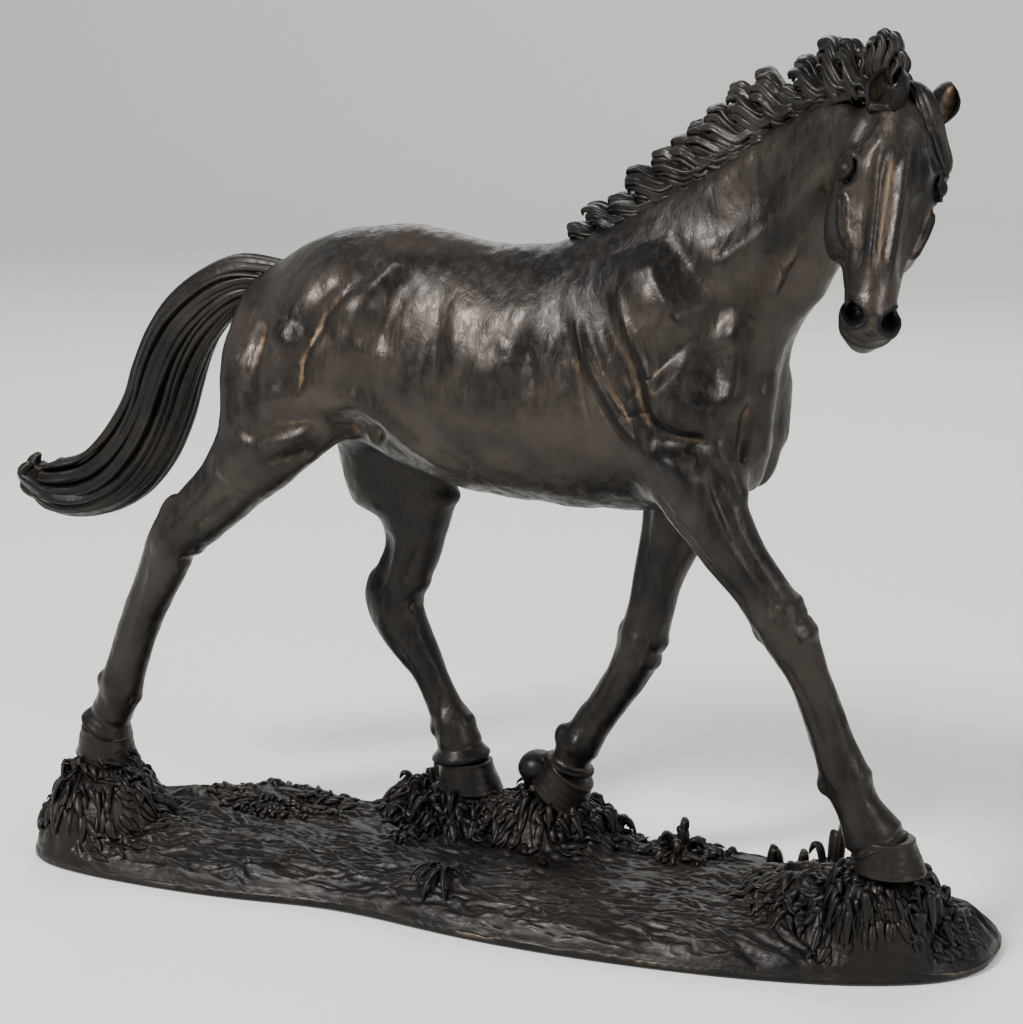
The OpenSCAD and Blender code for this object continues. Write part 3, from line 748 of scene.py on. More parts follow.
def add_head(clay):
    clay.join(HEAD, 5.0)
    ways = dict(along=head_way(0, 0, 1), top=head_way(1, 0, 0))
    # the long bones of the face, from the brow to the lip
    clay.join(Rod([(*in_head(3.0, -0.8, 8), 6.2), (*in_head(3.6, -1.6, 22), 5.8),
                   (*in_head(3.4, -1.0, 36), 4.6), (*in_head(2.4, -0.5, 48), 4.0),
                   (*in_head(0.8, 0, 60), 4.3)]), 1.8)
    for side in (-1, 1):
        # the jaw's broad plate and its lower bar
        clay.join(Ball(in_head(-11.5, 8.4 * side, 29), (13.0, 4.8, 10.5), **ways), 2.4)
        clay.join(Rod([(*in_head(-16, 4.6 * side, 36), 3.2), (*in_head(-9.5, 3.0 * side, 50), 2.8),
                       (*in_head(-6.2, 2.4 * side, 61), 2.8)]), 2.4)
        # the socket's rim
        clay.join(Ball(in_head(1.0, 10.4 * side, 20.5), (5.4, 3.8, 4.2), **ways), 3.0)
        # the nostril's wing
        clay.join(Ball(in_head(1.2, 5.2 * side, 60), (4.6, 3.0, 3.4), **ways), 2.0)
    clay.join(Ball(in_head(-2.2, 0, 61.4), (5.7, 6.8, 5.8), **ways), 2.5)
    clay.join(Ball(in_head(-6.0, 0, 63.6), (3.7, 3.6, 3.2), **ways), 2.0)

    def line(points, width, height, fade=0.3):
        clay.press(Stroke([in_head(*p) for p in points], width, height, 1.0, fade))

    for side in (-1, 1):
        def sided(points):
            return [(n, s * side, w) for n, s, w in points]

        # the edge of the nose bone, the crest under the eye and the hollow between them
        bone = ((8.8, 3.4, 13, -1.4), (9.0, 3.5, 22, -1.9), (8.2, 3.2, 34, -1.3), (7.0, 2.9, 44, -0.9),
                (5.8, 2.8, 53, -0.3))
        line([(n, s * side + lean, w) for n, s, w, lean in bone], 1.4, 1.0)
        line(sided([(0.5, 13.2, 27), (-1.2, 11.6, 35), (-1.6, 9.2, 43)]), 1.4, 2.4)
        line(sided([(5.6, 8.0, 25), (4.2, 7.6, 32), (3.0, 6.9, 40), (2.2, 6.0, 50)]), 2.2, -2.4)
        line(sided([(-2.8, 8.8, 40), (-3.0, 7.2, 48), (-3.2, 6.4, 54)]), 2.2, -0.9)
        # the hollow over the eye and the brow's edge
        line(sided([(4.4, 9.6, 10), (3.4, 11.0, 14)]), 2.8, -2.4, 0)
        line(sided([(6.4, 6.2, 8), (6.8, 7.8, 14), (5.8, 10.4, 17.4), (3.6, 12.6, 17.6)]), 1.4, 1.9)
        # the jaw's back edge and the furrow behind the cheek
        line(sided([(-10, 12.4, 17), (-18, 11.4, 24), (-21, 10.2, 33), (-17, 9.2, 41)]), 1.4, 0.9)
        line(sided([(-4.4, 13.4, 20), (-5, 13.4, 28), (-6, 11.8, 38)]), 1.6, -1.0)
        # a vein down the cheek
        line(sided([(0.4, 9.4, 40), (-3.4, 9.2, 37), (-8, 9.8, 36)]), 0.8, 0.5)
    line([(9.4, -1.6, 16), (9.2, -1.8, 24), (8.4, -1.0, 38), (6.6, -0.4, 50)], 1.8, -1.3)
    line([(-1.5, 7.2, 60.5), (0.0, 5.2, 66), (1.0, 0, 68), (0.0, -5.2, 66), (-1.5, -7.2, 60.5)],
         0.9, -1.0, 0.1)
    line([(4.6, 0, 60), (3.6, 0, 65)], 1.3, -0.9)
    for side in (-1, 1):
        eye = in_head(2.6, 12.6 * side, 22)
        clay.cut(Ball(eye, (3.7, 3.1, 3.0), along=head_way(-0.3, 0, 1), top=head_way(0, side, 0)), 0.8)
        clay.join(Ball(in_head(1.7, 12.0 * side, 22), 2.7), 0.1)
        lid = [(4.9, 11.6, 22.4, 0.5), (4.7, 12.4, 19.8, 0.8), (2.4, 13.8, 18.6, 0.9),
               (-0.6, 14.0, 19.6, 0.6), (-1.6, 13.4, 22.0, 0.4)]
        clay.join(Rod([(*in_head(n, s * side, w), r) for n, s, w, r in lid]), 0.5)
        low = [(4.9, 11.6, 22.6, 0.4), (3.8, 12.8, 24.7, 0.5), (1.0, 13.6, 25.1, 0.5),
               (-1.6, 13.4, 22.4, 0.4)]
        clay.join(Rod([(*in_head(n, s * side, w), r) for n, s, w, r in low]), 0.5)
        # the nostril: a comma, wide in front
        clay.cut(Rod([(*in_head(4.8, 5.4 * side, 61.6), 2.5), (*in_head(2.4, 6.4 * side, 58.4), 1.8),
                      (*in_head(0.2, 7.4 * side, 55.6), 0.6)]), 0.8)
        clay.cut(Rod([(*in_head(5.2, 5.0 * side, 61.8), 2.4), (*in_head(0, 4.0 * side, 58), 1.8)]), 0.6)


FRONT, BACK = 90, 270  # angles round a leg


def drawn_on(clay, leg):
    """A function that presses a stroke along (station, angle) points on the leg."""
    def line(points, width, height, fade=0.3):
        clay.press(Stroke([leg.point(s, a) for s, a in points], width, height, 1.0, fade))

    return line


def bump_on(leg, station, sink, radii, lean=0.0):
    """A lump on the back of the leg, sunk into it."""
    return Ball(leg.point(station, BACK, -sink), radii, along=(lean, 0, 1), top=(1, 0, 0))


def add_foreleg(clay, leg, knee, fetlock, outer):
    """Forearm, knee, cannon and pastern, placed by station along the leg."""
    line = drawn_on(clay, leg)
    inner = 180 - outer
    line([(0.6, FRONT), (1.6, FRONT), (2.6, FRONT)], 5.0, 0.7)
    line([(0.8, outer), (1.8, outer)], 5.5, 1.3, 0)
    for side in (outer, inner):
        lean = 1 if side == 0 else -1
        line([(1.0, side + 38 * lean), (2.2, side + 36 * lean), (knee - 0.5, side + 30 * lean)],
             1.5, -0.8)
        line([(1.0, side - 42 * lean), (2.2, side - 40 * lean), (knee - 0.7, side - 34 * lean)],
             1.6, -1.0)
        # bone and tendon down the cannon
        line([(knee + 0.5, side - 22 * lean), (knee + 2, side - 20 * lean),
              (fetlock - 0.5, side - 14 * lean)], 1.2, -1.0)
        line([(fetlock - 0.1, side), (fetlock + 0.1, side)], 2.2, 0.7, 0)
        line([(knee - 0.25, side), (knee + 0.1, side)], 2.6, 0.8, 0)
    # the knee's two rows of bones, and the one that stands behind it
    for s in (knee - 0.35, knee + 0.28):
        line([(s, 25), (s, 60), (s, 90), (s, 120), (s, 155)], 1.6, 0.9, 0.1)
    line([(knee, 40), (knee, 90), (knee, 140)], 0.9, -0.5, 0.2)
    clay.join(bump_on(leg, knee - 0.2, 1.8, (3.6, 2.3, 2.6)), 2.2)
    line([(knee + 1, BACK), (fetlock - 0.6, BACK)], 1.8, 0.5)
    add_foot(clay, leg, line, fetlock)


def add_hind_leg(clay, leg, hock, fetlock, outer):
    """Shin, hock, cannon and pastern, placed by station along the leg."""
    line = drawn_on(clay, leg)
    inner = 180 - outer
    for side in (outer, inner):
        lean = 1 if side == 0 else -1
        # the heel's cord stands off the shin
        line([(hock - 2.4, side - 38 * lean), (hock - 1.2, side - 36 * lean),
              (hock - 0.35, side - 30 * lean)], 2.4, -2.2)
        line([(hock - 2.2, side + 30 * lean), (hock - 0.8, side + 26 * lean)], 1.6, -0.8)
        line([(hock - 0.1, side), (hock + 0.15, side)], 3.0, 0.9, 0)
        line([(hock + 0.7, side - 20 * lean), (fetlock - 0.5, side - 14 * lean)], 1.3, -1.1)
        line([(fetlock - 0.1, side), (fetlock + 0.1, side)], 2.4, 0.7, 0)
    clay.join(bump_on(leg, hock - 0.45, 1.7, (4.2, 2.6, 2.9), 0.3), 3.0)
    line([(hock - 0.3, 60), (hock - 0.3, 90), (hock - 0.3, 120)], 2.0, 0.6, 0.1)
    line([(hock + 0.35, 50), (hock + 0.35, 90), (hock + 0.35, 130)], 1.4, -0.6, 0.2)
    line([(hock - 3.2, outer), (hock - 2.2, outer)], 6.5, 1.4, 0.2)
    line([(hock + 1, BACK), (fetlock - 0.6, BACK)], 1.8, 0.5)
    add_foot(clay, leg, line, fetlock)


def add_foot(clay, leg, line, fetlock):
    """The tuft behind the fetlock, the pastern's tendon and the rim over the hoof."""
    last = len(leg.path) // leg.STEPS
    clay.join(bump_on(leg, fetlock + 0.1, 1.0, (3.0, 3.4, 2.5)), 2.2)
    line([(fetlock + 0.2, 60), (fetlock + 0.2, 90), (fetlock + 0.2, 120)], 1.6, 0.5, 0.1)
    rim = [(last - 0.25, a) for a in range(0, 361, 30)]
    line(rim, 1.3, 0.9, 0)
    line([(s - 0.45, a) for s, a in rim], 1.2, -0.6, 0)


def model_horse():
    """The whole body as clay."""
    clay = Sculpt()
    clay.join(TORSO, 6.0)
    clay.join(NECK, 10.0)
    for leg, blend in ((RIGHT_FORE, 8.0), (LEFT_FORE, 7.0), (RIGHT_HIND, 6.5), (LEFT_HIND, 8.0)):
        clay.join(leg, blend)
    add_haunch(clay)
    add_barrel(clay)
    add_shoulder(clay)
    add_breast(clay)
    add_neck(clay)
    add_foreleg(clay, RIGHT_FORE, 4.0, 8.0, 180)
    add_foreleg(clay, LEFT_FORE, 5.0, 9.0, 0)
    add_hind_leg(clay, RIGHT_HIND, 5.0, 9.0, 180)
    add_hind_leg(clay, LEFT_HIND, 6.0, 10.0, 0)
    # the poll, under the upright clump of the mane
    clay.join(Ball((109, -11, 240.5), (6, 4.5, 4.5)), 3.0)
    # the heel of the lifted left fore foot
    clay.join(Ball((1.0, 18, 34.0), (5.6, 6.4, 5.0)), 2.0)
    add_head(clay)
    return clay


def close_holes(vertices, quads):
    """Fans from each open loop's middle, so that a piece cut from the skin is closed."""
    edge = {}
    for f in quads.tolist():
        for a, b in zip(f, f[1:] + f[:1]):
            edge[(a, b)] = True
    follow = {a: b for a, b in edge if (b, a) not in edge}
    extra, fans = [], []
    while follow:
        start = next(iter(follow))
        loop, at = [], start
        while at in follow:
            loop.append(at)
            at = follow.pop(at)
        if len(loop) > 2:
            hub = len(vertices) + len(extra)
            extra.append(vertices[loop].mean(0))
            fans += [(b, a, hub) for a, b in zip(loop, loop[1:] + loop[:1])]
    return extra, fans


# The box that holds the body, without its hair
BODY_LOW = np.array([-150.0, -45.0, 20.0])
BODY_HIGH = np.array([140.0, 50.0, 250.0])
# Places made lighter and more golden: rubbed wear on the haunch, shoulder and right fore pastern, and
# painted highlights on the neck and ribs
WEAR_AND_HIGHLIGHTS = [
    [(-72, -20, 178), (-62, -23, 168), (-56, -23, 156)],
    [(38, -22, 190), (50, -24, 180), (58, -24, 170)],
    [(96, -18, 222), (84, -13, 208), (74, -12, 197)],
    [(104, -17, 60), (110, -16, 50), (114, -18, 42)],
    [(-30, -21, 176), (-10, -23, 174), (8, -23, 170)]]


def make_horse():
    """The body's skin, worked over by hand, coloured by its relief and cut into its castings."""
    clay = model_horse()
    vertices, quads = surface(clay, BODY_LOW, BODY_HIGH, BODY_VOXEL)
    normals = vertex_normals(vertices, quads)
    # the modeller's thumb: shallow lumps and drags all over
    drag = noise(vertices * (1.0, 1.0, 0.45), 5.0, 3) * 0.22 + noise(vertices, 11.0, 5) * 0.28
    drag += noise(vertices * (1.0, 1.0, 0.6), 2.4, 9) * 0.12
    calm = np.clip(np.linalg.norm(vertices - in_head(0, 0, 35), axis=1) / 45, 0.4, 1)
    vertices = vertices + normals * (drag * calm)[:, None]
    normals = vertex_normals(vertices, quads)
    edges = np.vstack([quads[:, (i, (i + 1) % 4)] for i in range(4)])
    relief = relief_of(vertices, normals, edges, 3)
    # the patina is rubbed along the nose, and the eyes and the nostrils get painted shade
    nose = [in_head(8, -3.4, 14), in_head(8, -3.4, 30), in_head(6.5, -3.2, 42), in_head(5, -4.2, 54)]
    relief = relief + Stroke(nose, 2.6, 0.26, 1.0, 0.3).amount(vertices)
    # rubbed wear and painted highlights: these places take more of the ridges' golden colour
    for place in WEAR_AND_HIGHLIGHTS:
        relief = relief + Stroke(place, 6.0, 0.12, 0.5, 0.4).amount(vertices)
    # painted shade: the eyes and the nostrils are marked as deep hollows, so they take the hollows'
    # darkest colour
    for side in (-1, 1):
        for place, reach in ((in_head(2.0, 12.2 * side, 22), 2.8), (in_head(3.2, 5.6 * side, 60.2), 3.6),
                             (in_head(1.2, 4.6 * side, 58.8), 3.4)):
            near = np.linalg.norm(vertices - place, axis=1)
            relief = np.where(near < reach, np.minimum(relief, -0.6), relief)
    middle = vertices[quads].mean(1)
    label = np.argmin([form.distance(middle) for form in GROUPS.values()], axis=0)
    for number, name in enumerate(GROUPS):
        mine = quads[label == number]
        used, faces = np.unique(mine, return_inverse=True)
        faces = faces.reshape(-1, 4)
        points = vertices[used]
        extra, fans = close_holes(points, faces)
        directions = np.vstack([normals[used]] + [np.array([[0, 0, 1.0]])] * len(extra))
        points = np.vstack([points] + [e[None] for e in extra])
        bends = np.concatenate([relief[used], np.zeros(len(extra))])
        make_piece("horse_" + name, points, faces.tolist() + fans, BODY_BRONZE,
                   [name], directions, bends)


make_horse()


# --- Hooves --------------------------------------------------------------------------------------

HOOF_HEIGHT = 9.5


def make_hoof(name, place):
    """A hoof's wall with its growth rings, split heels and a dished sole."""
    x, y, z, tilt = place
    sides, rows = 56, 26
    turn = np.linspace(0, 2 * math.pi, sides, endpoint=False)
    heel = np.exp(-((np.abs(turn - math.pi)) / 0.22) ** 2)
    rings = []

    def ring(height, scale, rise=0.0):
        radius = (10.2 - 2.1 * height) * scale
        radius = radius * (1 + 0.07 * np.cos(turn) - 0.15 * heel * (1 - 0.4 * height))
        wide = 0.92
        rings.append(np.stack([radius * np.cos(turn) + 1.6 * (1 - height), radius * wide * np.sin(turn),
                               np.full(sides, height * HOOF_HEIGHT + rise)], 1))

    for scale, rise in ((0.25, 0.9), (0.62, 0.8), (0.85, 0.3), (0.95, 0.0)):
        ring(0.0, scale, rise)
    for height in np.linspace(0.02, 0.86, rows):
        ring(height, 1.0 + 0.003 * math.sin(height * 30) - 0.03 * math.exp(-(height / 0.03) ** 2))
    coronet = ((0.9, 1.0), (0.94, 1.02), (0.98, 1.03), (1.01, 0.99), (1.03, 0.85), (1.04, 0.5))
    for height, scale in coronet:
        ring(height, scale)
    points = np.vstack(rings)
    points += (noise(points + x, 3.5, 4) * 0.22)[:, None] * unit(points * (1, 1, 0) + 1e-6)
    points = points @ turned(1, tilt).T + (x, y, z)
    make_piece(name + "_wall", points, rings_to_faces(len(rings), sides), HOOF_BRONZE,
               [name])


for hoof_name, hoof_place in HOOVES.items():
    make_hoof(hoof_name, hoof_place)


# --- Ears ----------------------------------------------------------------------------------------

def make_ear(name, base, tip, opening, bow, width):
    """A cupped leaf: each ring is a crescent that is open towards opening."""
    base, tip = in_head(*base), in_head(*tip)
    along = unit(tip - base)
    front = head_way(*opening)
    front = unit(front - along * (front @ along))
    across = np.cross(along, front)
    rings, outer, inner = [], 17, 13
    for t in np.linspace(0, 1, 20):
        middle = base + (tip - base) * t + front * bow * math.sin(math.pi * t)
        leaf = np.interp(t, (0, 0.15, 0.4, 0.65, 0.85, 0.96, 1), (0.66, 0.84, 1.0, 0.86, 0.5, 0.2, 0.04))
        w, deep = width * leaf, width * leaf * 0.85
        hollow = np.interp(t, (0, 0.12, 0.3, 0.85, 1), (0.0, 0.2, 1.0, 0.9, 0.3))
        a = np.radians(np.linspace(-128, 128, outer))
        back = np.stack([w * np.sin(a), -deep * np.cos(a)], 1)
        b = np.radians(np.linspace(122, -122, inner))
        rim = 0.80 - 0.08 * (1 - leaf)
        cup = np.stack([w * rim * np.sin(b) * 0.96, -deep * rim * np.cos(b)], 1)
        lid = np.stack([cup[:, 0], np.full(inner, deep * 0.60)], 1)
        cup = lid * (1 - hollow) + cup * hollow
        flat = np.vstack([back, cup])
        rings.append(middle + flat[:, :1] * across + flat[:, 1:] * front)
    sides = outer + inner
    points = np.vstack(rings)
    points += (noise(points, 2.0, 6) * 0.12)[:, None] * front
    make_piece(name + "_leaf", points, rings_to_faces(len(rings), sides), BODY_BRONZE,
               [name], rubbed=1.5)


make_ear("right_ear", (6.5, -6.7, 6.3), (3.5, -3.3, -8.1), (0.80, -0.55, 0.1), 1.0, 5.8)
make_ear("left_ear", (1.2, 8.6, 3.2), (-4.4, 13.0, -9.8), (0.85, 0.5, 0.1), 1.0, 4.4)


# --- Hair ----------------------------------------------------------------------------------------

# Crest of the neck: x, y, z
CREST = catmull([
    (18, 4, 193), (30, 4, 199.5), (40, 4, 205), (56, 3.5, 214.5), (72, 2, 225), (87, -2, 234.5),
    (99, -8, 239.5), (107, -13, 240.5), (114, -14, 239)], 10)
# Tips of the mane's waves: x, z, how far forward each one is rooted, thickness
WAVES = [
    (13.5, 191.8, 12, 1.2), (18.5, 199.4, 13, 1.4), (24, 205.2, 15, 1.5), (31, 207.8, 16, 1.6),
    (37, 215.4, 18, 1.8), (44.5, 220.4, 18, 1.8), (49, 224.6, 17, 1.7), (54.5, 228.4, 18, 1.8),
    (59, 232.6, 18, 1.8), (65.5, 238.6, 18, 1.8), (73, 243.2, 17, 1.8), (80, 238.6, 14, 1.7),
    (85, 246.4, 15, 1.8), (93, 251.6, 12, 1.9), (99.5, 251.8, 9, 1.8)]
# How thick a lock is at each point of its path, from root to tip
LOCK_PROFILE = np.array([0.7, 1.0, 1.1, 1.1, 1.0, 0.85, 0.6, 0.2])


def on_crest(x):
    """The point of the crest over x."""
    return np.array([x, np.interp(x, CREST[:, 0], CREST[:, 1]), np.interp(x, CREST[:, 0], CREST[:, 2])])


def make_mane():
    """Waves of hair that flow back along the crest, each lifting to a curled tip."""
    hair = Bundle()
    rise = np.array([0, 0, 1.0])
    for tip_x, tip_z, reach, thick in WAVES:
        for layer, (lift, drawn) in enumerate(((0.30, 0.80), (0.54, 0.90), (0.78, 0.97), (1.0, 1.0))):
            for out in (-1.0, -0.67, -0.33, 0.0, 0.33, 0.67, 1.0):
                shy = 1 - 0.24 * abs(out) ** 2
                root = on_crest(tip_x + reach - 2.0 * (3 - layer)) + (0, out * 3.8, -3.0 + 0.5 * layer)
                under = on_crest(tip_x + reach * (1 - drawn))
                high = (tip_z - under[2]) * lift * shy * random.uniform(0.90, 1.02)
                end = under + (random.uniform(-1.2, 1.2), out * 3.8 + random.uniform(-0.6, 0.6), high)
                way = end - root
                sway = random.uniform(-0.9, 0.9)
                wave = random.uniform(0.06, 0.11)
                path = [root,
                        root + way * 0.25 + rise * wave * high + (0, out * 0.8 + sway, 0),
                        root + way * 0.48 - rise * wave * 1.4 * high + (0, out * 1.2, 0),
                        root + way * 0.72 - rise * 0.02 * high + (0, out * 0.9 - sway, 0),
                        root + way * 0.90 + rise * 0.08 * high + (0.4, out * 0.6, 0),
                        end + rise * 0.5,
                        end + (-1.5, -out * 0.6, 0.1),
                        end + (-1.7, -out * 0.8, -1.5)]
                radius = thick * random.uniform(0.85, 1.15) * LOCK_PROFILE
                hair.strand(path, radius, 0.7, (0, 1, 0.25), 4, 0.2, random.uniform(-0.6, 0.6), 16, 4,
                            random.uniform(0, 6))
    # the upright clump at the poll
    for x, z, foot in ((103, 250, 104), (105, 250, 106), (107.4, 253, 107.5), (109.8, 254.8, 109),
                       (112, 254, 110.5), (114, 249.5, 112), (115, 244, 113)):
        for out in (-1, -0.4, 0.3, 1):
            root = on_crest(foot) + (0, 2.6 + out * 2.4, -3)
            end = np.array([x, root[1] + out * 0.6 + random.uniform(-0.5, 0.5), z - 1.6 * abs(out)])
            way = end - root
            path = [root, root + way * 0.3 + (0.9, out * 0.6, 0), root + way * 0.6 + (-0.4, out * 0.8, 0),
                    root + way * 0.85 + (0.5, out * 0.5, 0), end, end + (-1.3, 0, 0.1),
                    end + (-1.9, 0, -1.3)]
            hair.strand(path, [1.4, 1.9, 2.1, 1.9, 1.5, 1.0, 0.3], 0.75, (0, 1, 0), 4, 0.2,
                        random.uniform(-0.5, 0.5), 16, 4, random.uniform(0, 6))
    # short hair that lies along both sides of the crest
    for side in (-1, 1):
        for x in np.linspace(110, 24, 34):
            root, end = on_crest(x) + (1, side * 3.4, -1.6), on_crest(x - 11) + (0, side * 4.8, -1.8)
            middle = (root + end) / 2 + (0, side * 0.9, 0.8 + random.uniform(-0.4, 0.4))
            tip = end + (-2.6, side * 0.1, random.uniform(-1.4, 0.6))
            hair.strand([root, middle, end, tip], [1.0, 1.5, 1.2, 0.3], 0.7, (0, 1, 0), 4, 0.16,
                        random.uniform(-0.5, 0.5), 12, 5, random.uniform(0, 6))
    hair.piece("mane_hair", HAIR_BRONZE, "hair_bronze", ["mane"], 0.75)


def make_forelock():
    """One thick lock that falls between the ears and lies over the left brow."""
    hair = Bundle()
    for k in range(11):
        spread = (k - 5) / 5.5 - 0.5
        drop = random.uniform(-1.2, 1.2)
        deep = -0.6 * abs(spread)
        path = [in_head(-4 + deep, 1.0 + spread, -4), in_head(2.5 + deep, 1.6 + spread * 1.2, -4.2),
                in_head(6.4 + deep, 4.2 + spread * 1.4, -0.5),
                in_head(7.4 + deep, 7.4 + spread * 1.6, 5.5),
                in_head(6.6 + deep, 10.4 + spread * 1.4, 11.5 + drop * 0.5),
                in_head(4.8 + deep, 13.2 + spread * 0.8, 16 + drop),
                in_head(3.2, 13.6 + spread * 0.4, 18 + drop)]
        hair.strand(path, [1.1, 1.3, 1.5, 1.5, 1.3, 1.0, 0.3], 0.8, head_way(0, 1, 0), 4, 0.18,
                    random.uniform(-0.5, 0.5), 16, 6, random.uniform(0, 6))
    hair.piece("forelock_hair", HAIR_BRONZE, "hair_bronze", ["forelock"])


def make_tail():
    """A dock, and locks that swing down and back together and part at their ends."""
    tail = Loft([
        (-72, 4, 178, 7.5, 5), (-86, 4, 179, 8, 6), (-97.3, 4, 174.2, 9.2, 7.5),
        (-108.5, 5, 164, 10.6, 9), (-116, 6, 150.8, 11, 10), (-121, 7, 137.5, 11, 10),
        (-128.3, 7, 124.5, 11.5, 10), (-138, 6, 114.5, 11.2, 9.5), (-149, 4, 110, 9.8, 8.5),
        (-158.5, 2, 110, 8.3, 7), (-165, 1, 112, 4.5, 4)], (-0.8, 0, -0.6))
    last = len(tail.path) // tail.STEPS
    hair = Bundle()
    core = [tail.point(s, 90, -tail.path[s * tail.STEPS, 3]) for s in range(last)]
    filling = [5, 5.2, 6.4, 7.6, 8.2, 8.2, 8.2, 7.6, 6.2, 4]
    hair.strand(core, filling, 1.05, (0, 1, 0), 9, 0.05, 0.5, 36, 6)
    count = 24
    for k in range(count):
        start = random.uniform(0.0, 0.4)
        end = last - random.uniform(0.05, 0.7) - (1.5 if k % 6 == 4 else 0)
        angle = 360 * k / count + random.uniform(-6, 6)
        twist = random.uniform(10, 30)
        thick = random.uniform(1.9, 3.0)
        path, radius = [], []
        for t in np.linspace(0, 1, 11):
            s = start + (end - start) * t
            wander = 6 * math.sin(4 * t + k * 2.4)
            sunk = -thick * 0.72 + 0.5 * math.sin(6 * t + k)
            path.append(tail.point(s, angle + twist * t + wander, sunk))
            radius.append(thick * np.interp(t, (0, 0.1, 0.5, 0.9, 1), (0.45, 0.75, 1.0, 0.95, 0.45)))
        hair.strand(path, radius, 0.72, (0, 1, 0), 4, 0.13, random.uniform(-0.5, 0.5), 16, 5,
                    random.uniform(0, 6))
    # the end is blunt and lifts in a hook
    hooks = ((2, 7.0, -164), (6, 5.0, -158), (-2, 4.5, -165), (1, -1.0, -166), (5, 1.5, -165))
    for y, lift, reach in hooks:
        path = [(-146, y + 2, 108), (-156, y + 1, 107 + lift * 0.3), (reach + 3, y, 109 + lift * 0.6),
                (reach, y - 1, 111 + lift * 0.8), (reach + 2, y - 1, 113 + lift)]
        hair.strand(path, [2.6, 3.6, 3.6, 2.8, 1.0], 0.85, (0, 1, 0), 4, 0.13, 0.4, 16, 6, y)
    hair.piece("tail_hair", HAIR_BRONZE, "hair_bronze", ["tail"])


make_mane()
make_forelock()
make_tail()


# --- Turf ----------------------------------------------------------------------------------------

base_low, base_high = (np.array(corner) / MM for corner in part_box("base_casting"))
HALF_LENGTH = (base_high[0] - base_low[0]) / 2
END_SHIFT = (base_high[0] + base_low[0]) / 2
BASE_FLOOR = base_low[2]
HALF_WIDTH = 39.0
SKEW = 0.07
GROUND = BASE_FLOOR + 11.0
# Mounds of turf: x, y, height over the open ground, radius along X, radius along Y, flatness
MOUNDS = [
    (116, -10, 17.5, 15, 15, 4), (121, -7, 4.5, 15, 17, 3), (95, 1, 9.5, 16, 14, 3),
    (5, 20, 14, 17, 15, 4), (18, 24, 4.8, 10, 12, 3), (-24, 18, 12, 14, 13, 4),
    (-38, 24, 10.5, 11, 10, 3), (-136, -11, 16.5, 14, 13, 4), (-132, -20, 12.5, 19, 18, 6),
    (-84, 11, 4.1, 18, 10, 3), (-96, 8, 2.0, 18, 12, 3), (47, 20, 5, 7, 7, 1.6),
    (72, 18, 1.6, 14, 9, 2.5), (-33, -6, 2.5, 4, 3.5, 2), (-10, -24, 3.5, 5, 4, 1.6)]
# Height field: its low corner and the size of its squares
FIELD_LOW = np.array([-155.0, -48.0])
FIELD_STEP = 0.4
FIELD_COUNT = (765, 245)


def edges_at(x, inset=0.0):
    """The near and far edges of the base at x."""
    c = np.clip(np.abs(x - END_SHIFT) / (HALF_LENGTH - inset), 0, 1) ** (1 / 0.65)
    bow = np.sqrt(np.maximum(1 - c * c, 0)) ** np.where(x < END_SHIFT, 0.42, 0.7)
    waist = 1 - 0.12 * np.exp(-((x + 42) / 30) ** 2)
    far = (HALF_WIDTH - inset) * bow
    skew = SKEW * x * np.abs(x) / HALF_LENGTH
    bulge = 1 + 0.025 * ease((x + 40) / 80)
    return -far * waist * bulge + skew, far + skew


def outline(inset=0.0, count=240):
    """The base's outline seen from above, drawn in by inset."""
    turn = np.linspace(0, 2 * math.pi, count, endpoint=False)
    x = END_SHIFT + (HALF_LENGTH - inset) * np.sign(np.cos(turn)) * np.abs(np.cos(turn)) ** 0.65
    near, far = edges_at(x, inset)
    return np.stack([x, np.where(np.sin(turn) < 0, near, far)], 1)


RIM = outline(0, 160)


def rim_gap(x, y):
    """Distance in from the rim."""
    gap = np.full(len(x), FAR)
    for (ax, ay), (bx, by) in zip(RIM, np.roll(RIM, -1, 0)):
        sx, sy = bx - ax, by - ay
        part = np.clip(((x - ax) * sx + (y - ay) * sy) / (sx * sx + sy * sy), 0, 1)
        gap = np.minimum(gap, (x - ax - part * sx) ** 2 + (y - ay - part * sy) ** 2)
    return np.sqrt(gap)


def sample(field, x, y):
    """A field's value between its squares."""
    i = np.clip((x - FIELD_LOW[0]) / FIELD_STEP, 0, FIELD_COUNT[0] - 1.001)
    j = np.clip((y - FIELD_LOW[1]) / FIELD_STEP, 0, FIELD_COUNT[1] - 1.001)
    a, b = i.astype(int), j.astype(int)
    f, g = i - a, j - b
    low = field[a, b] * (1 - f) + field[a + 1, b] * f
    high = field[a, b + 1] * (1 - f) + field[a + 1, b + 1] * f
    return low * (1 - g) + high * g


def combed(x, y, flow, size, reach, seed):
    """Noise drawn out along the flow, like the marks of a comb; its spread is 1."""
    flat = np.zeros(x.size)
    grain = noise(np.stack([x.ravel(), y.ravel(), flat], 1), size, seed).reshape(x.shape)
    total = grain.copy()
    stride = 0.8
    for way in (-1, 1):
        px, py = x.copy(), y.copy()
        for _ in range(reach):
            turn = sample(flow[0], px, py), sample(flow[1], px, py)
            px += way * stride * turn[0]
            py += way * stride * turn[1]
            total += sample(grain, px, py)
    return total / total.std()


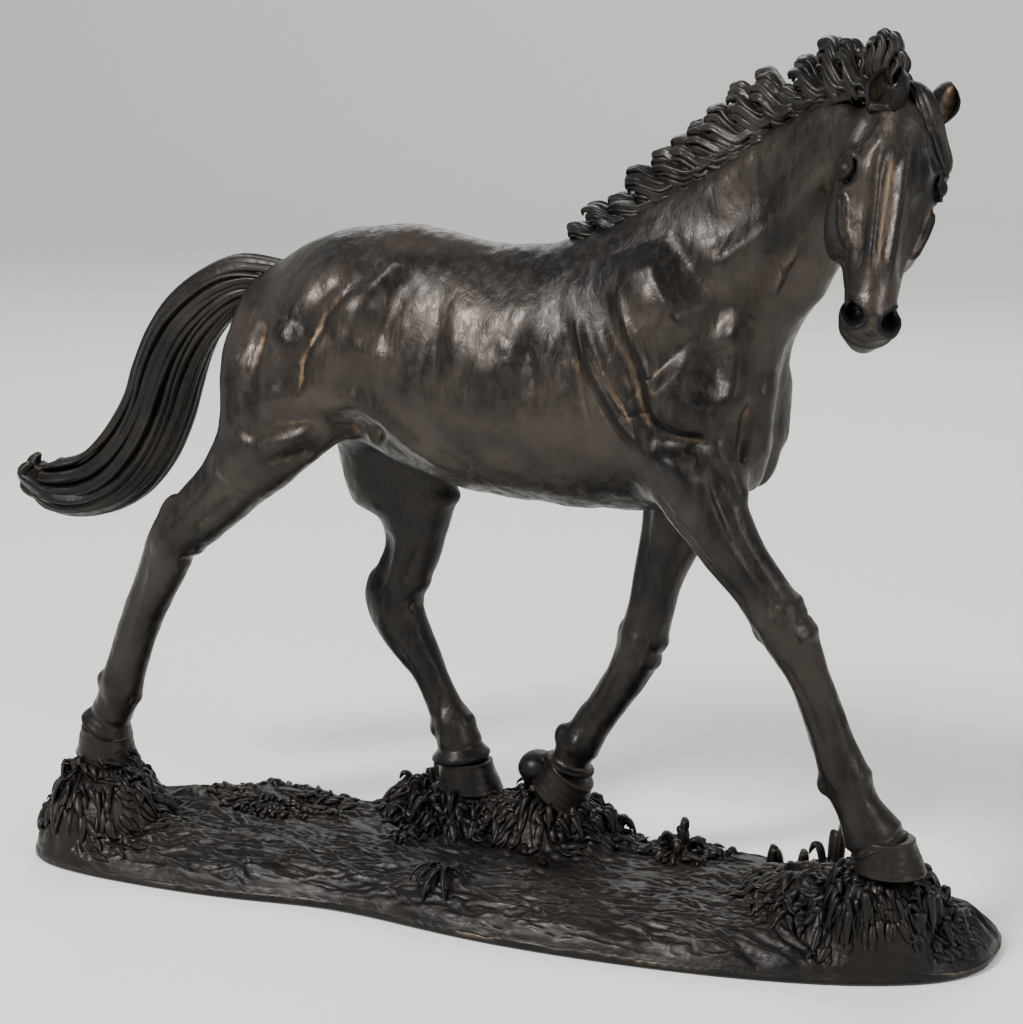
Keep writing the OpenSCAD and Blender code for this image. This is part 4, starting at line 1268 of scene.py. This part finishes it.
def make_field():
    """Heights of the turf: mounds, a rolled rim, and strokes that sweep round and down the mounds."""
    x = (FIELD_LOW[0] + FIELD_STEP * np.arange(FIELD_COUNT[0]))[:, None].repeat(FIELD_COUNT[1], 1)
    y = (FIELD_LOW[1] + FIELD_STEP * np.arange(FIELD_COUNT[1]))[None].repeat(FIELD_COUNT[0], 0)
    flat = np.zeros(x.size)

    def clouds(size, seed, stretch=1.0):
        points = np.stack([x.ravel() * stretch, y.ravel(), flat + seed], 1)
        return noise(points, size, seed).reshape(x.shape)

    ragged = 1 + 0.22 * clouds(9, 31) + 0.12 * clouds(4, 32)
    rise = np.zeros_like(x)
    skirt = np.zeros_like(x)
    way_x = np.ones_like(x)
    way_y = 0.28 * clouds(26, 41, 0.6) + 0.22 * clouds(9, 42, 0.5)
    for mx, my, high, rx, ry, power in MOUNDS:
        u, v = (x - mx) / rx, (y - my) / ry
        reach = np.hypot(u, v) * ragged
        mound = high * np.exp(-0.9 * reach ** power)
        rise = np.maximum(rise, mound) + 0.10 * np.minimum(rise, mound)
        weight = np.exp(-(reach / 1.5) ** 6) * min(high / 8, 1)
        outward = np.stack([u / rx, v / ry]) / np.maximum(np.hypot(u / rx, v / ry), 1e-6)
        way_x = way_x * (1 - weight) + weight * (outward[0] - 0.55 * outward[1])
        way_y = way_y * (1 - weight) + weight * (outward[1] + 0.55 * outward[0])
        skirt = np.maximum(skirt, weight)
    length = np.maximum(np.hypot(way_x, way_y), 0.05)
    flow = way_x / length, way_y / length
    coarse = combed(x, y, flow, 2.4, 9, 51)
    fine = combed(x, y, flow, 1.2, 11, 52)
    thin = np.exp(-((fine - 0.8) / 0.45) ** 2)
    gap = rim_gap(x.ravel(), y.ravel()).reshape(x.shape)
    steep = np.interp(gap, (0, 1.0, 2.2, 4, 7, 12, 18), (0.12, 0.52, 0.74, 0.87, 0.95, 0.98, 1))
    slow = np.interp(gap, (0, 1.2, 2.5, 5, 9, 14, 20), (0.10, 0.3, 0.42, 0.62, 0.8, 0.93, 1))
    lumps = clouds(10, 7) * 0.7 + clouds(4, 6) * 0.3
    marks = coarse * (0.30 + 0.30 * skirt) + thin * 0.65 * (0.7 + 0.5 * clouds(14, 8))
    calm = np.interp(gap, (0, 1.5, 4), (0.0, 0.6, 1.0))
    high = BASE_FLOOR + (GROUND - BASE_FLOOR) * slow + rise * steep + (marks + lumps) * calm
    return high + brush_marks(x, y, flow) * calm


def brush_marks(x, y, flow):
    """Raised leaves laid like shingles down the mounds, and long low strokes over open ground."""
    dice = np.random.default_rng(23)
    relief = np.zeros_like(x)

    def stroke(px, py, length, width, height, swerve):
        """One leaf along the flow: steep on one side, sloping on the other, thickest near its tip."""
        steps = 10
        xs, ys = [px], [py]
        for _ in range(steps):
            way_x = float(sample(flow[0], np.array(xs[-1]), np.array(ys[-1])))
            way_y = float(sample(flow[1], np.array(xs[-1]), np.array(ys[-1])))
            turn = math.atan2(way_y, way_x) + swerve * len(xs) / steps
            xs.append(xs[-1] + math.cos(turn) * length / steps)
            ys.append(ys[-1] + math.sin(turn) * length / steps)
        lo = (np.array([min(xs), min(ys)]) - 2 * width - FIELD_LOW) / FIELD_STEP
        hi = (np.array([max(xs), max(ys)]) + 2 * width - FIELD_LOW) / FIELD_STEP
        i0, j0 = np.maximum(lo.astype(int), 0)
        i1, j1 = np.minimum(hi.astype(int) + 1, FIELD_COUNT)
        if i1 - i0 < 2 or j1 - j0 < 2:
            return
        gx, gy = x[i0:i1, j0:j1], y[i0:i1, j0:j1]
        near, place, side = np.full(gx.shape, FAR), np.zeros(gx.shape), np.zeros(gx.shape)
        for k in range(steps):
            sx, sy = xs[k + 1] - xs[k], ys[k + 1] - ys[k]
            part = np.clip(((gx - xs[k]) * sx + (gy - ys[k]) * sy) / (sx * sx + sy * sy), 0, 1)
            ox, oy = gx - xs[k] - part * sx, gy - ys[k] - part * sy
            gap = np.hypot(ox, oy)
            closer = gap < near
            near = np.where(closer, gap, near)
            place = np.where(closer, (k + part) / steps, place)
            side = np.where(closer, np.sign(sx * oy - sy * ox), side)
        wide = width * np.where(side > 0, 1.35, 0.65)
        body = np.clip(1 - (near / wide) ** 2, 0, 1) ** 0.7
        along = np.interp(place, (0, 0.25, 0.7, 0.9, 1), (0.15, 0.55, 1.0, 0.9, 0.35))
        relief[i0:i1, j0:j1] = np.maximum(relief[i0:i1, j0:j1], height * body * along)

    for mx, my, high, rx, ry, _ in MOUNDS:
        if high < 3:
            continue
        for ring, count in ((0.45, 16), (0.75, 24), (1.02, 30), (1.25, 26)):
            for k in range(int(count * min(1, rx / 15))):
                turn = 2 * math.pi * dice.random()
                out = ring * dice.uniform(0.88, 1.12)
                stroke(mx + rx * out * math.cos(turn), my + ry * out * math.sin(turn),
                       dice.uniform(5, 10) * min(1, rx / 11), dice.uniform(0.9, 1.6),
                       dice.uniform(0.8, 1.9) * (1.15 - 0.35 * ring), dice.uniform(-0.3, 0.9))
    for _ in range(560):
        px = dice.uniform(-140, 132)
        near, far = edges_at(np.array(px))
        stroke(px, dice.uniform(near + 1.5, far - 2), dice.uniform(9, 26), dice.uniform(0.55, 1.05),
               dice.uniform(0.35, 0.95), dice.uniform(-0.7, 0.7))
    return relief


FIELD = make_field()


def make_turf():
    """The casting under the hooves: combed top, rolled rim, ledge for the board and a hollow."""
    columns, rows = TURF_GRID

    def crowded(count, share):
        """Numbers from -1 to 1 that stand closer together towards both ends."""
        return np.sin(np.linspace(-1, 1, count) * math.pi / 2 * share) / math.sin(math.pi / 2 * share)

    u, v = crowded(columns, 0.97), crowded(rows, 0.75)
    x = (END_SHIFT + u * (HALF_LENGTH - 0.02))[:, None].repeat(rows, 1)
    near, far = edges_at(x)
    y = (near + far) / 2 + (far - near) / 2 * v[None]
    z = sample(FIELD, x, y)
    rim = BASE_FLOOR + 0.12 * (GROUND - BASE_FLOOR)
    z[[0, -1]] = rim
    z[:, [0, -1]] = rim
    points = np.stack([x, y, z], -1).reshape(-1, 3)
    index = np.arange(columns * rows).reshape(columns, rows)
    faces = np.stack([index[:-1, :-1], index[1:, :-1], index[1:, 1:], index[:-1, 1:]], -1)
    faces = faces.reshape(-1, 4).tolist()
    loop = np.concatenate([index[:, 0], index[-1, 1:], index[-2::-1, -1], index[0, -2:0:-1]])
    ring = points[loop]
    last = loop
    # inset and level of each ring on the way under and up into the hollow
    rings = [(0.0, BASE_FLOOR), (2.3, BASE_FLOOR), (2.3, BASE_FLOOR + 3.1), (6.0, BASE_FLOOR + 3.1),
             (9.0, BASE_FLOOR + 6.0), (16.0, BASE_FLOOR + 7.0)]
    for inset, level in rings:
        scale = np.array([1 - inset / HALF_LENGTH, 1 - inset / HALF_WIDTH])
        lower = np.column_stack([(ring[:, :2] - (END_SHIFT, 0)) * scale + (END_SHIFT, 0),
                                 np.full(len(ring), level)])
        first = len(points)
        points = np.vstack([points, lower])
        new = np.arange(first, first + len(ring))
        for a, b, c, d in zip(last, np.roll(last, -1), np.roll(new, -1), new):
            faces.append((a, d, c, b))
        last = new
    faces.append(tuple(last))
    make_piece("turf", points, [tuple(int(i) for i in f) for f in faces], GROUND_BRONZE,
               ["base_casting"])


def make_grass():
    """Pointed blades that lie like shingles down the mounds, and curled leaves round the hooves."""
    grass = Bundle()

    def level(x, y):
        return float(sample(FIELD, np.array(x), np.array(y)))

    def inside(x, y):
        near, far = edges_at(np.array(x))
        return near + 1.5 < y < far - 1.5 and abs(x - END_SHIFT) < HALF_LENGTH - 2.5

    def blade(x, y, turn, length, thick, lift, bend):
        """A blade that runs over the ground from x, y, half sunk in it, and leaves it at the tip."""
        path, steps, near = [], 6, 0.6
        for k in range(steps + 1):
            if not inside(x, y):
                break
            z = level(x, y)
            normal = unit((level(x - near, y) - level(x + near, y),
                           level(x, y - near) - level(x, y + near), 2 * near))
            clear = thick * (-0.5, -0.05, 0.15, 0.3, 0.35, 0.4, 0.3)[k] + lift * (k / steps) ** 2
            path.append(np.array([x, y, z]) + normal * clear)
            way = np.array([math.cos(turn), math.sin(turn)])
            fall = (level(x + way[0] * near, y + way[1] * near) - z) / near
            step = length / steps / math.hypot(1, fall)
            x, y = x + way[0] * step, y + way[1] * step
            turn += bend / steps
        if len(path) < 5:
            return
        radius = thick * np.array([0.5, 0.9, 1.0, 1.0, 0.85, 0.55, 0.14])[:len(path)]
        radius[-1] = thick * 0.14
        side = np.cross(path[2] - path[1], normal)
        grass.strand(path, radius, 0.6, unit(side), 3, 0.12, 0.0, 8, 3, random.uniform(0, 6))

    def leaf(x, y, turn, length, height, thick, bend=0.0):
        """A leaf that rises from its root and bows over along turn."""
        path, radius = [], []
        shape = ((0, -1.5, 0.9), (0.2, 0.5, 1.0), (0.42, 0.92, 0.95), (0.68, 1.0, 0.8),
                 (0.9, 0.74, 0.5), (1.0, 0.5, 0.15))
        for part, lift, wide in shape:
            way = turn + bend * part
            px, py = x + math.cos(way) * length * part, y + math.sin(way) * length * part
            if not inside(px, py):
                break
            base = level(x, y) * (1 - part) + level(px, py) * part
            path.append((px, py, base + (lift * height if part else -1.5)))
            radius.append(thick * wide)
        if len(path) > 3:
            radius[-1] = thick * 0.15
            side = (-math.sin(turn), math.cos(turn), 0.15)
            grass.strand(path, radius, 0.6, side, 4, 0.14, random.uniform(-0.25, 0.25), 10, 4,
                         random.uniform(0, 6))

    def crown(x, y, start, end, away, count, length, height, thick):
        """Leaves side by side on an arc round x, y."""
        for k in range(count):
            part = (k + random.uniform(-0.35, 0.35)) / max(count - 1, 1)
            turn = math.radians(start + (end - start) * part)
            out = away * random.uniform(0.85, 1.15)
            leaf(x + out * math.cos(turn), y + out * math.sin(turn), turn + random.uniform(-0.4, 0.8),
                 length * random.uniform(0.7, 1.3), height * random.uniform(0.5, 1.25),
                 thick * random.uniform(0.75, 1.2), random.uniform(-0.4, 1.0))

    # the coat of each mound, ring by ring
    for mx, my, high, rx, ry, _ in MOUNDS:
        if high < 4:
            continue
        for ring, count in ((0.5, 22), (0.72, 30), (0.9, 34), (1.05, 34), (1.2, 26)):
            for k in range(int(count * rx / 15)):
                turn = 2 * math.pi * (k + random.uniform(-0.4, 0.4)) / (count * rx / 15)
                out = ring * random.uniform(0.92, 1.08)
                blade(mx + rx * out * math.cos(turn), my + ry * out * math.sin(turn),
                      turn + random.uniform(-0.5, 0.9), random.uniform(5, 10) * min(1, high / 8),
                      random.uniform(0.85, 1.5), random.uniform(0.0, 0.9), random.uniform(-0.6, 1.0))
    # curled leaves round the hooves: place, arc, radius, count, length, height, thickness
    crown(-136, -10, 0, 360, 9.0, 26, 5, 3.6, 1.25)
    crown(-132, -15, 150, 380, 13, 20, 5, 2.0, 1.1)
    crown(-28, 19, 80, 290, 9.5, 18, 5, 4.0, 1.3)
    crown(10, 19, 120, 330, 11, 16, 5, 2.6, 1.2)
    crown(15, 23, -60, 110, 8.5, 16, 5, 3.4, 1.35)
    crown(115, -10, 80, 300, 10, 22, 5, 3.0, 1.25)
    crown(117, -10, -95, 75, 10, 18, 5, 2.8, 1.2)
    # single leaves: tall ones behind the right fore hoof, the tuft in the middle and loose stubs;
    # place, direction in degrees, length, height and thickness
    for x, y, turn, length, height, thick in (
            (98.5, 8.5, 10, 2, 11.5, 2.2), (96.5, 9, 60, 2.5, 8.5, 2.0), (94, 8, 170, 4, 5, 1.8),
            (129, -12, -20, 2.5, 8, 2.1), (130.5, -10, 20, 2.5, 8.5, 2.1), (128, -14.5, -60, 3, 6, 1.8),
            (103, 6, 60, 4, 4.5, 1.5), (46.5, 20, 30, 2.5, 5.0, 2.0), (48, 19, 140, 2.5, 3.8, 1.8),
            (45, 18, 200, 4, 3, 1.7), (50, 19, -20, 4, 3, 1.7), (47, 16, 270, 4, 2.2, 1.6),
            (75, 18, 30, 2, 5.0, 2.2), (78, 19, 200, 3, 4, 2.0), (84, 18, 20, 2.5, 5, 2.1),
            (61, 20, 10, 3, 2.2, 1.4), (-44, 24, 180, 4, 3, 1.6), (-40, 27, 120, 4, 3, 1.6),
            (-38, 28, 150, 3, 6, 2.0), (-36, 27, 100, 3, 7.5, 2.0),
            (24, 27, 20, 4, 3, 1.6), (20, 30, 60, 4, 3.5, 1.6), (16, 31, 120, 4, 4, 1.6),
            (134, -2, 10, 4, 3.5, 1.6), (132, -7, -30, 4, 3, 1.5), (130, 2, 50, 4, 3, 1.5)):
        leaf(x, y, math.radians(turn), length, height, thick, 0.4)
    # small curls out on the open ground
    for x, y in ((-33, -6), (-10, -24), (-9, 8)):
        crown(x, y, 150, 400, 1.6, 6, 4.5, 1.6, 0.8)
    crown(-10, -24, 170, 300, 2.5, 6, 7, 2.2, 0.85)
    grass.piece("grass_blades", GROUND_BRONZE, "ground_bronze", ["grass_tufts"], 0.42)


def make_felt():
    """The felt glued under the base: a thin sheet with a softened, slightly furred edge."""
    low, high = (np.array(corner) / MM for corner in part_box("base_pad"))
    rings = []
    profile = ((0.9, low[2] + 0.02), (0.65, low[2] + 0.25), (0.6, low[2] + 0.7), (0.8, high[2] - 0.02))
    for inset, level in profile:
        edge = outline(inset)
        rings.append(np.column_stack([edge, np.full(len(edge), level)]))
    sides = len(rings[0])
    points = np.vstack(rings)
    points[:, :2] *= 1 + noise(points, 1.6, 2)[:, None] * 0.0012
    felt_pad = make_piece("felt_pad", points, rings_to_faces(len(rings), sides), felt(),
                          ["base_pad"])
    edge = outline(1.0)


make_turf()
make_grass()
make_felt()


# --- CAD nodes that stay in view ---------------------------------------------------------------

def dress(material, *names):
    """Gives the CAD's own solids a material."""
    for name in names:
        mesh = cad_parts[name].data
        mesh.materials.clear()
        mesh.materials.append(material)


dress(steel(), "hoof_studs", "hoof_washers", "hoof_nuts", "shoulder_dowels", "hip_dowels", "neck_dowels",
      "head_dowel", "tail_dowel", "board_screws")
dress(board(), "closing_board")


# --- Camera and light ----------------------------------------------------------------------------

# Metres: the camera's place and the point it looks at
CAMERA_PLACE = (0.2896, -0.6496, 0.2807)
CAMERA_TARGET = (-0.0076, 0.018, 0.112)
FOCAL_LENGTH = 89.1
SENSOR_WIDTH = 36
# Colours of the paper and the sky, and the sky's strength
PAPER = (0.88, 0.885, 0.85, 1)
SKY = (0.93, 0.95, 0.96, 1)
SKY_STRENGTH = 0.60


def look(place, target):
    """The turn that aims a camera or a lamp at target."""
    return (Vector(target) - Vector(place)).to_track_quat("-Z", "Y")


def make_camera():
    lens = bpy.data.cameras.new("camera")
    lens.lens = FOCAL_LENGTH
    lens.sensor_width = SENSOR_WIDTH
    camera = bpy.data.objects.new("camera", lens)
    camera.location = CAMERA_PLACE
    camera.rotation_mode = "QUATERNION"
    camera.rotation_quaternion = look(camera.location, CAMERA_TARGET)
    bpy.context.scene.collection.objects.link(camera)
    bpy.context.scene.camera = camera


def add_light(name, place, target, size, power):
    """A soft box, by its two sides in metres and its power in watts."""
    lamp = bpy.data.lights.new(name, "AREA")
    lamp.shape = "RECTANGLE"
    lamp.size, lamp.size_y = size
    lamp.energy = power
    light = bpy.data.objects.new(name, lamp)
    light.location = place
    light.rotation_mode = "QUATERNION"
    light.rotation_quaternion = look(place, target)
    bpy.context.scene.collection.objects.link(light)


def make_studio():
    """Three soft boxes, a pale sky and a sheet of paper: a floor that curves up behind."""
    add_light("key", (-0.40, -0.85, 0.95), (0, 0, 0.12), (0.26, 0.26), 20)
    add_light("side", (0.95, -0.35, 0.55), (0, 0, 0.12), (0.3, 0.5), 5)
    add_light("back", (-0.2, 1.0, 0.8), (0, 0, 0.15), (1.2, 0.5), 6)
    world = bpy.data.worlds.new("studio")
    world.use_nodes = True
    back = world.node_tree.nodes["Background"]
    back.inputs[0].default_value = SKY
    back.inputs[1].default_value = SKY_STRENGTH
    bpy.context.scene.world = world
    depth, width, rise, bend = 1.3, 6.0, 2.5, 0.5
    profile = [(-2.5, 0.0), (depth, 0.0)]
    profile += [(depth + bend * math.sin(a), bend * (1 - math.cos(a)))
                for a in np.linspace(0.1, math.pi / 2, 14)]
    profile.append((depth + bend, rise))
    vertices = [(x, y, z) for y, z in profile for x in (-width / 2, width / 2)]
    faces = [(2 * i, 2 * i + 1, 2 * i + 3, 2 * i + 2) for i in range(len(profile) - 1)]
    mesh = bpy.data.meshes.new("paper")
    mesh.from_pydata(vertices, [], faces)
    mesh.polygons.foreach_set("use_smooth", [True] * len(mesh.polygons))
    s = Shader("paper")
    mesh.materials.append(s.finish(PAPER, 0.85, s.bump(s.noise(40, 2), 0.0005, 0.1), 0.0))
    paper = bpy.data.objects.new("paper", mesh)
    bpy.context.scene.collection.objects.link(paper)


make_camera()
make_studio()
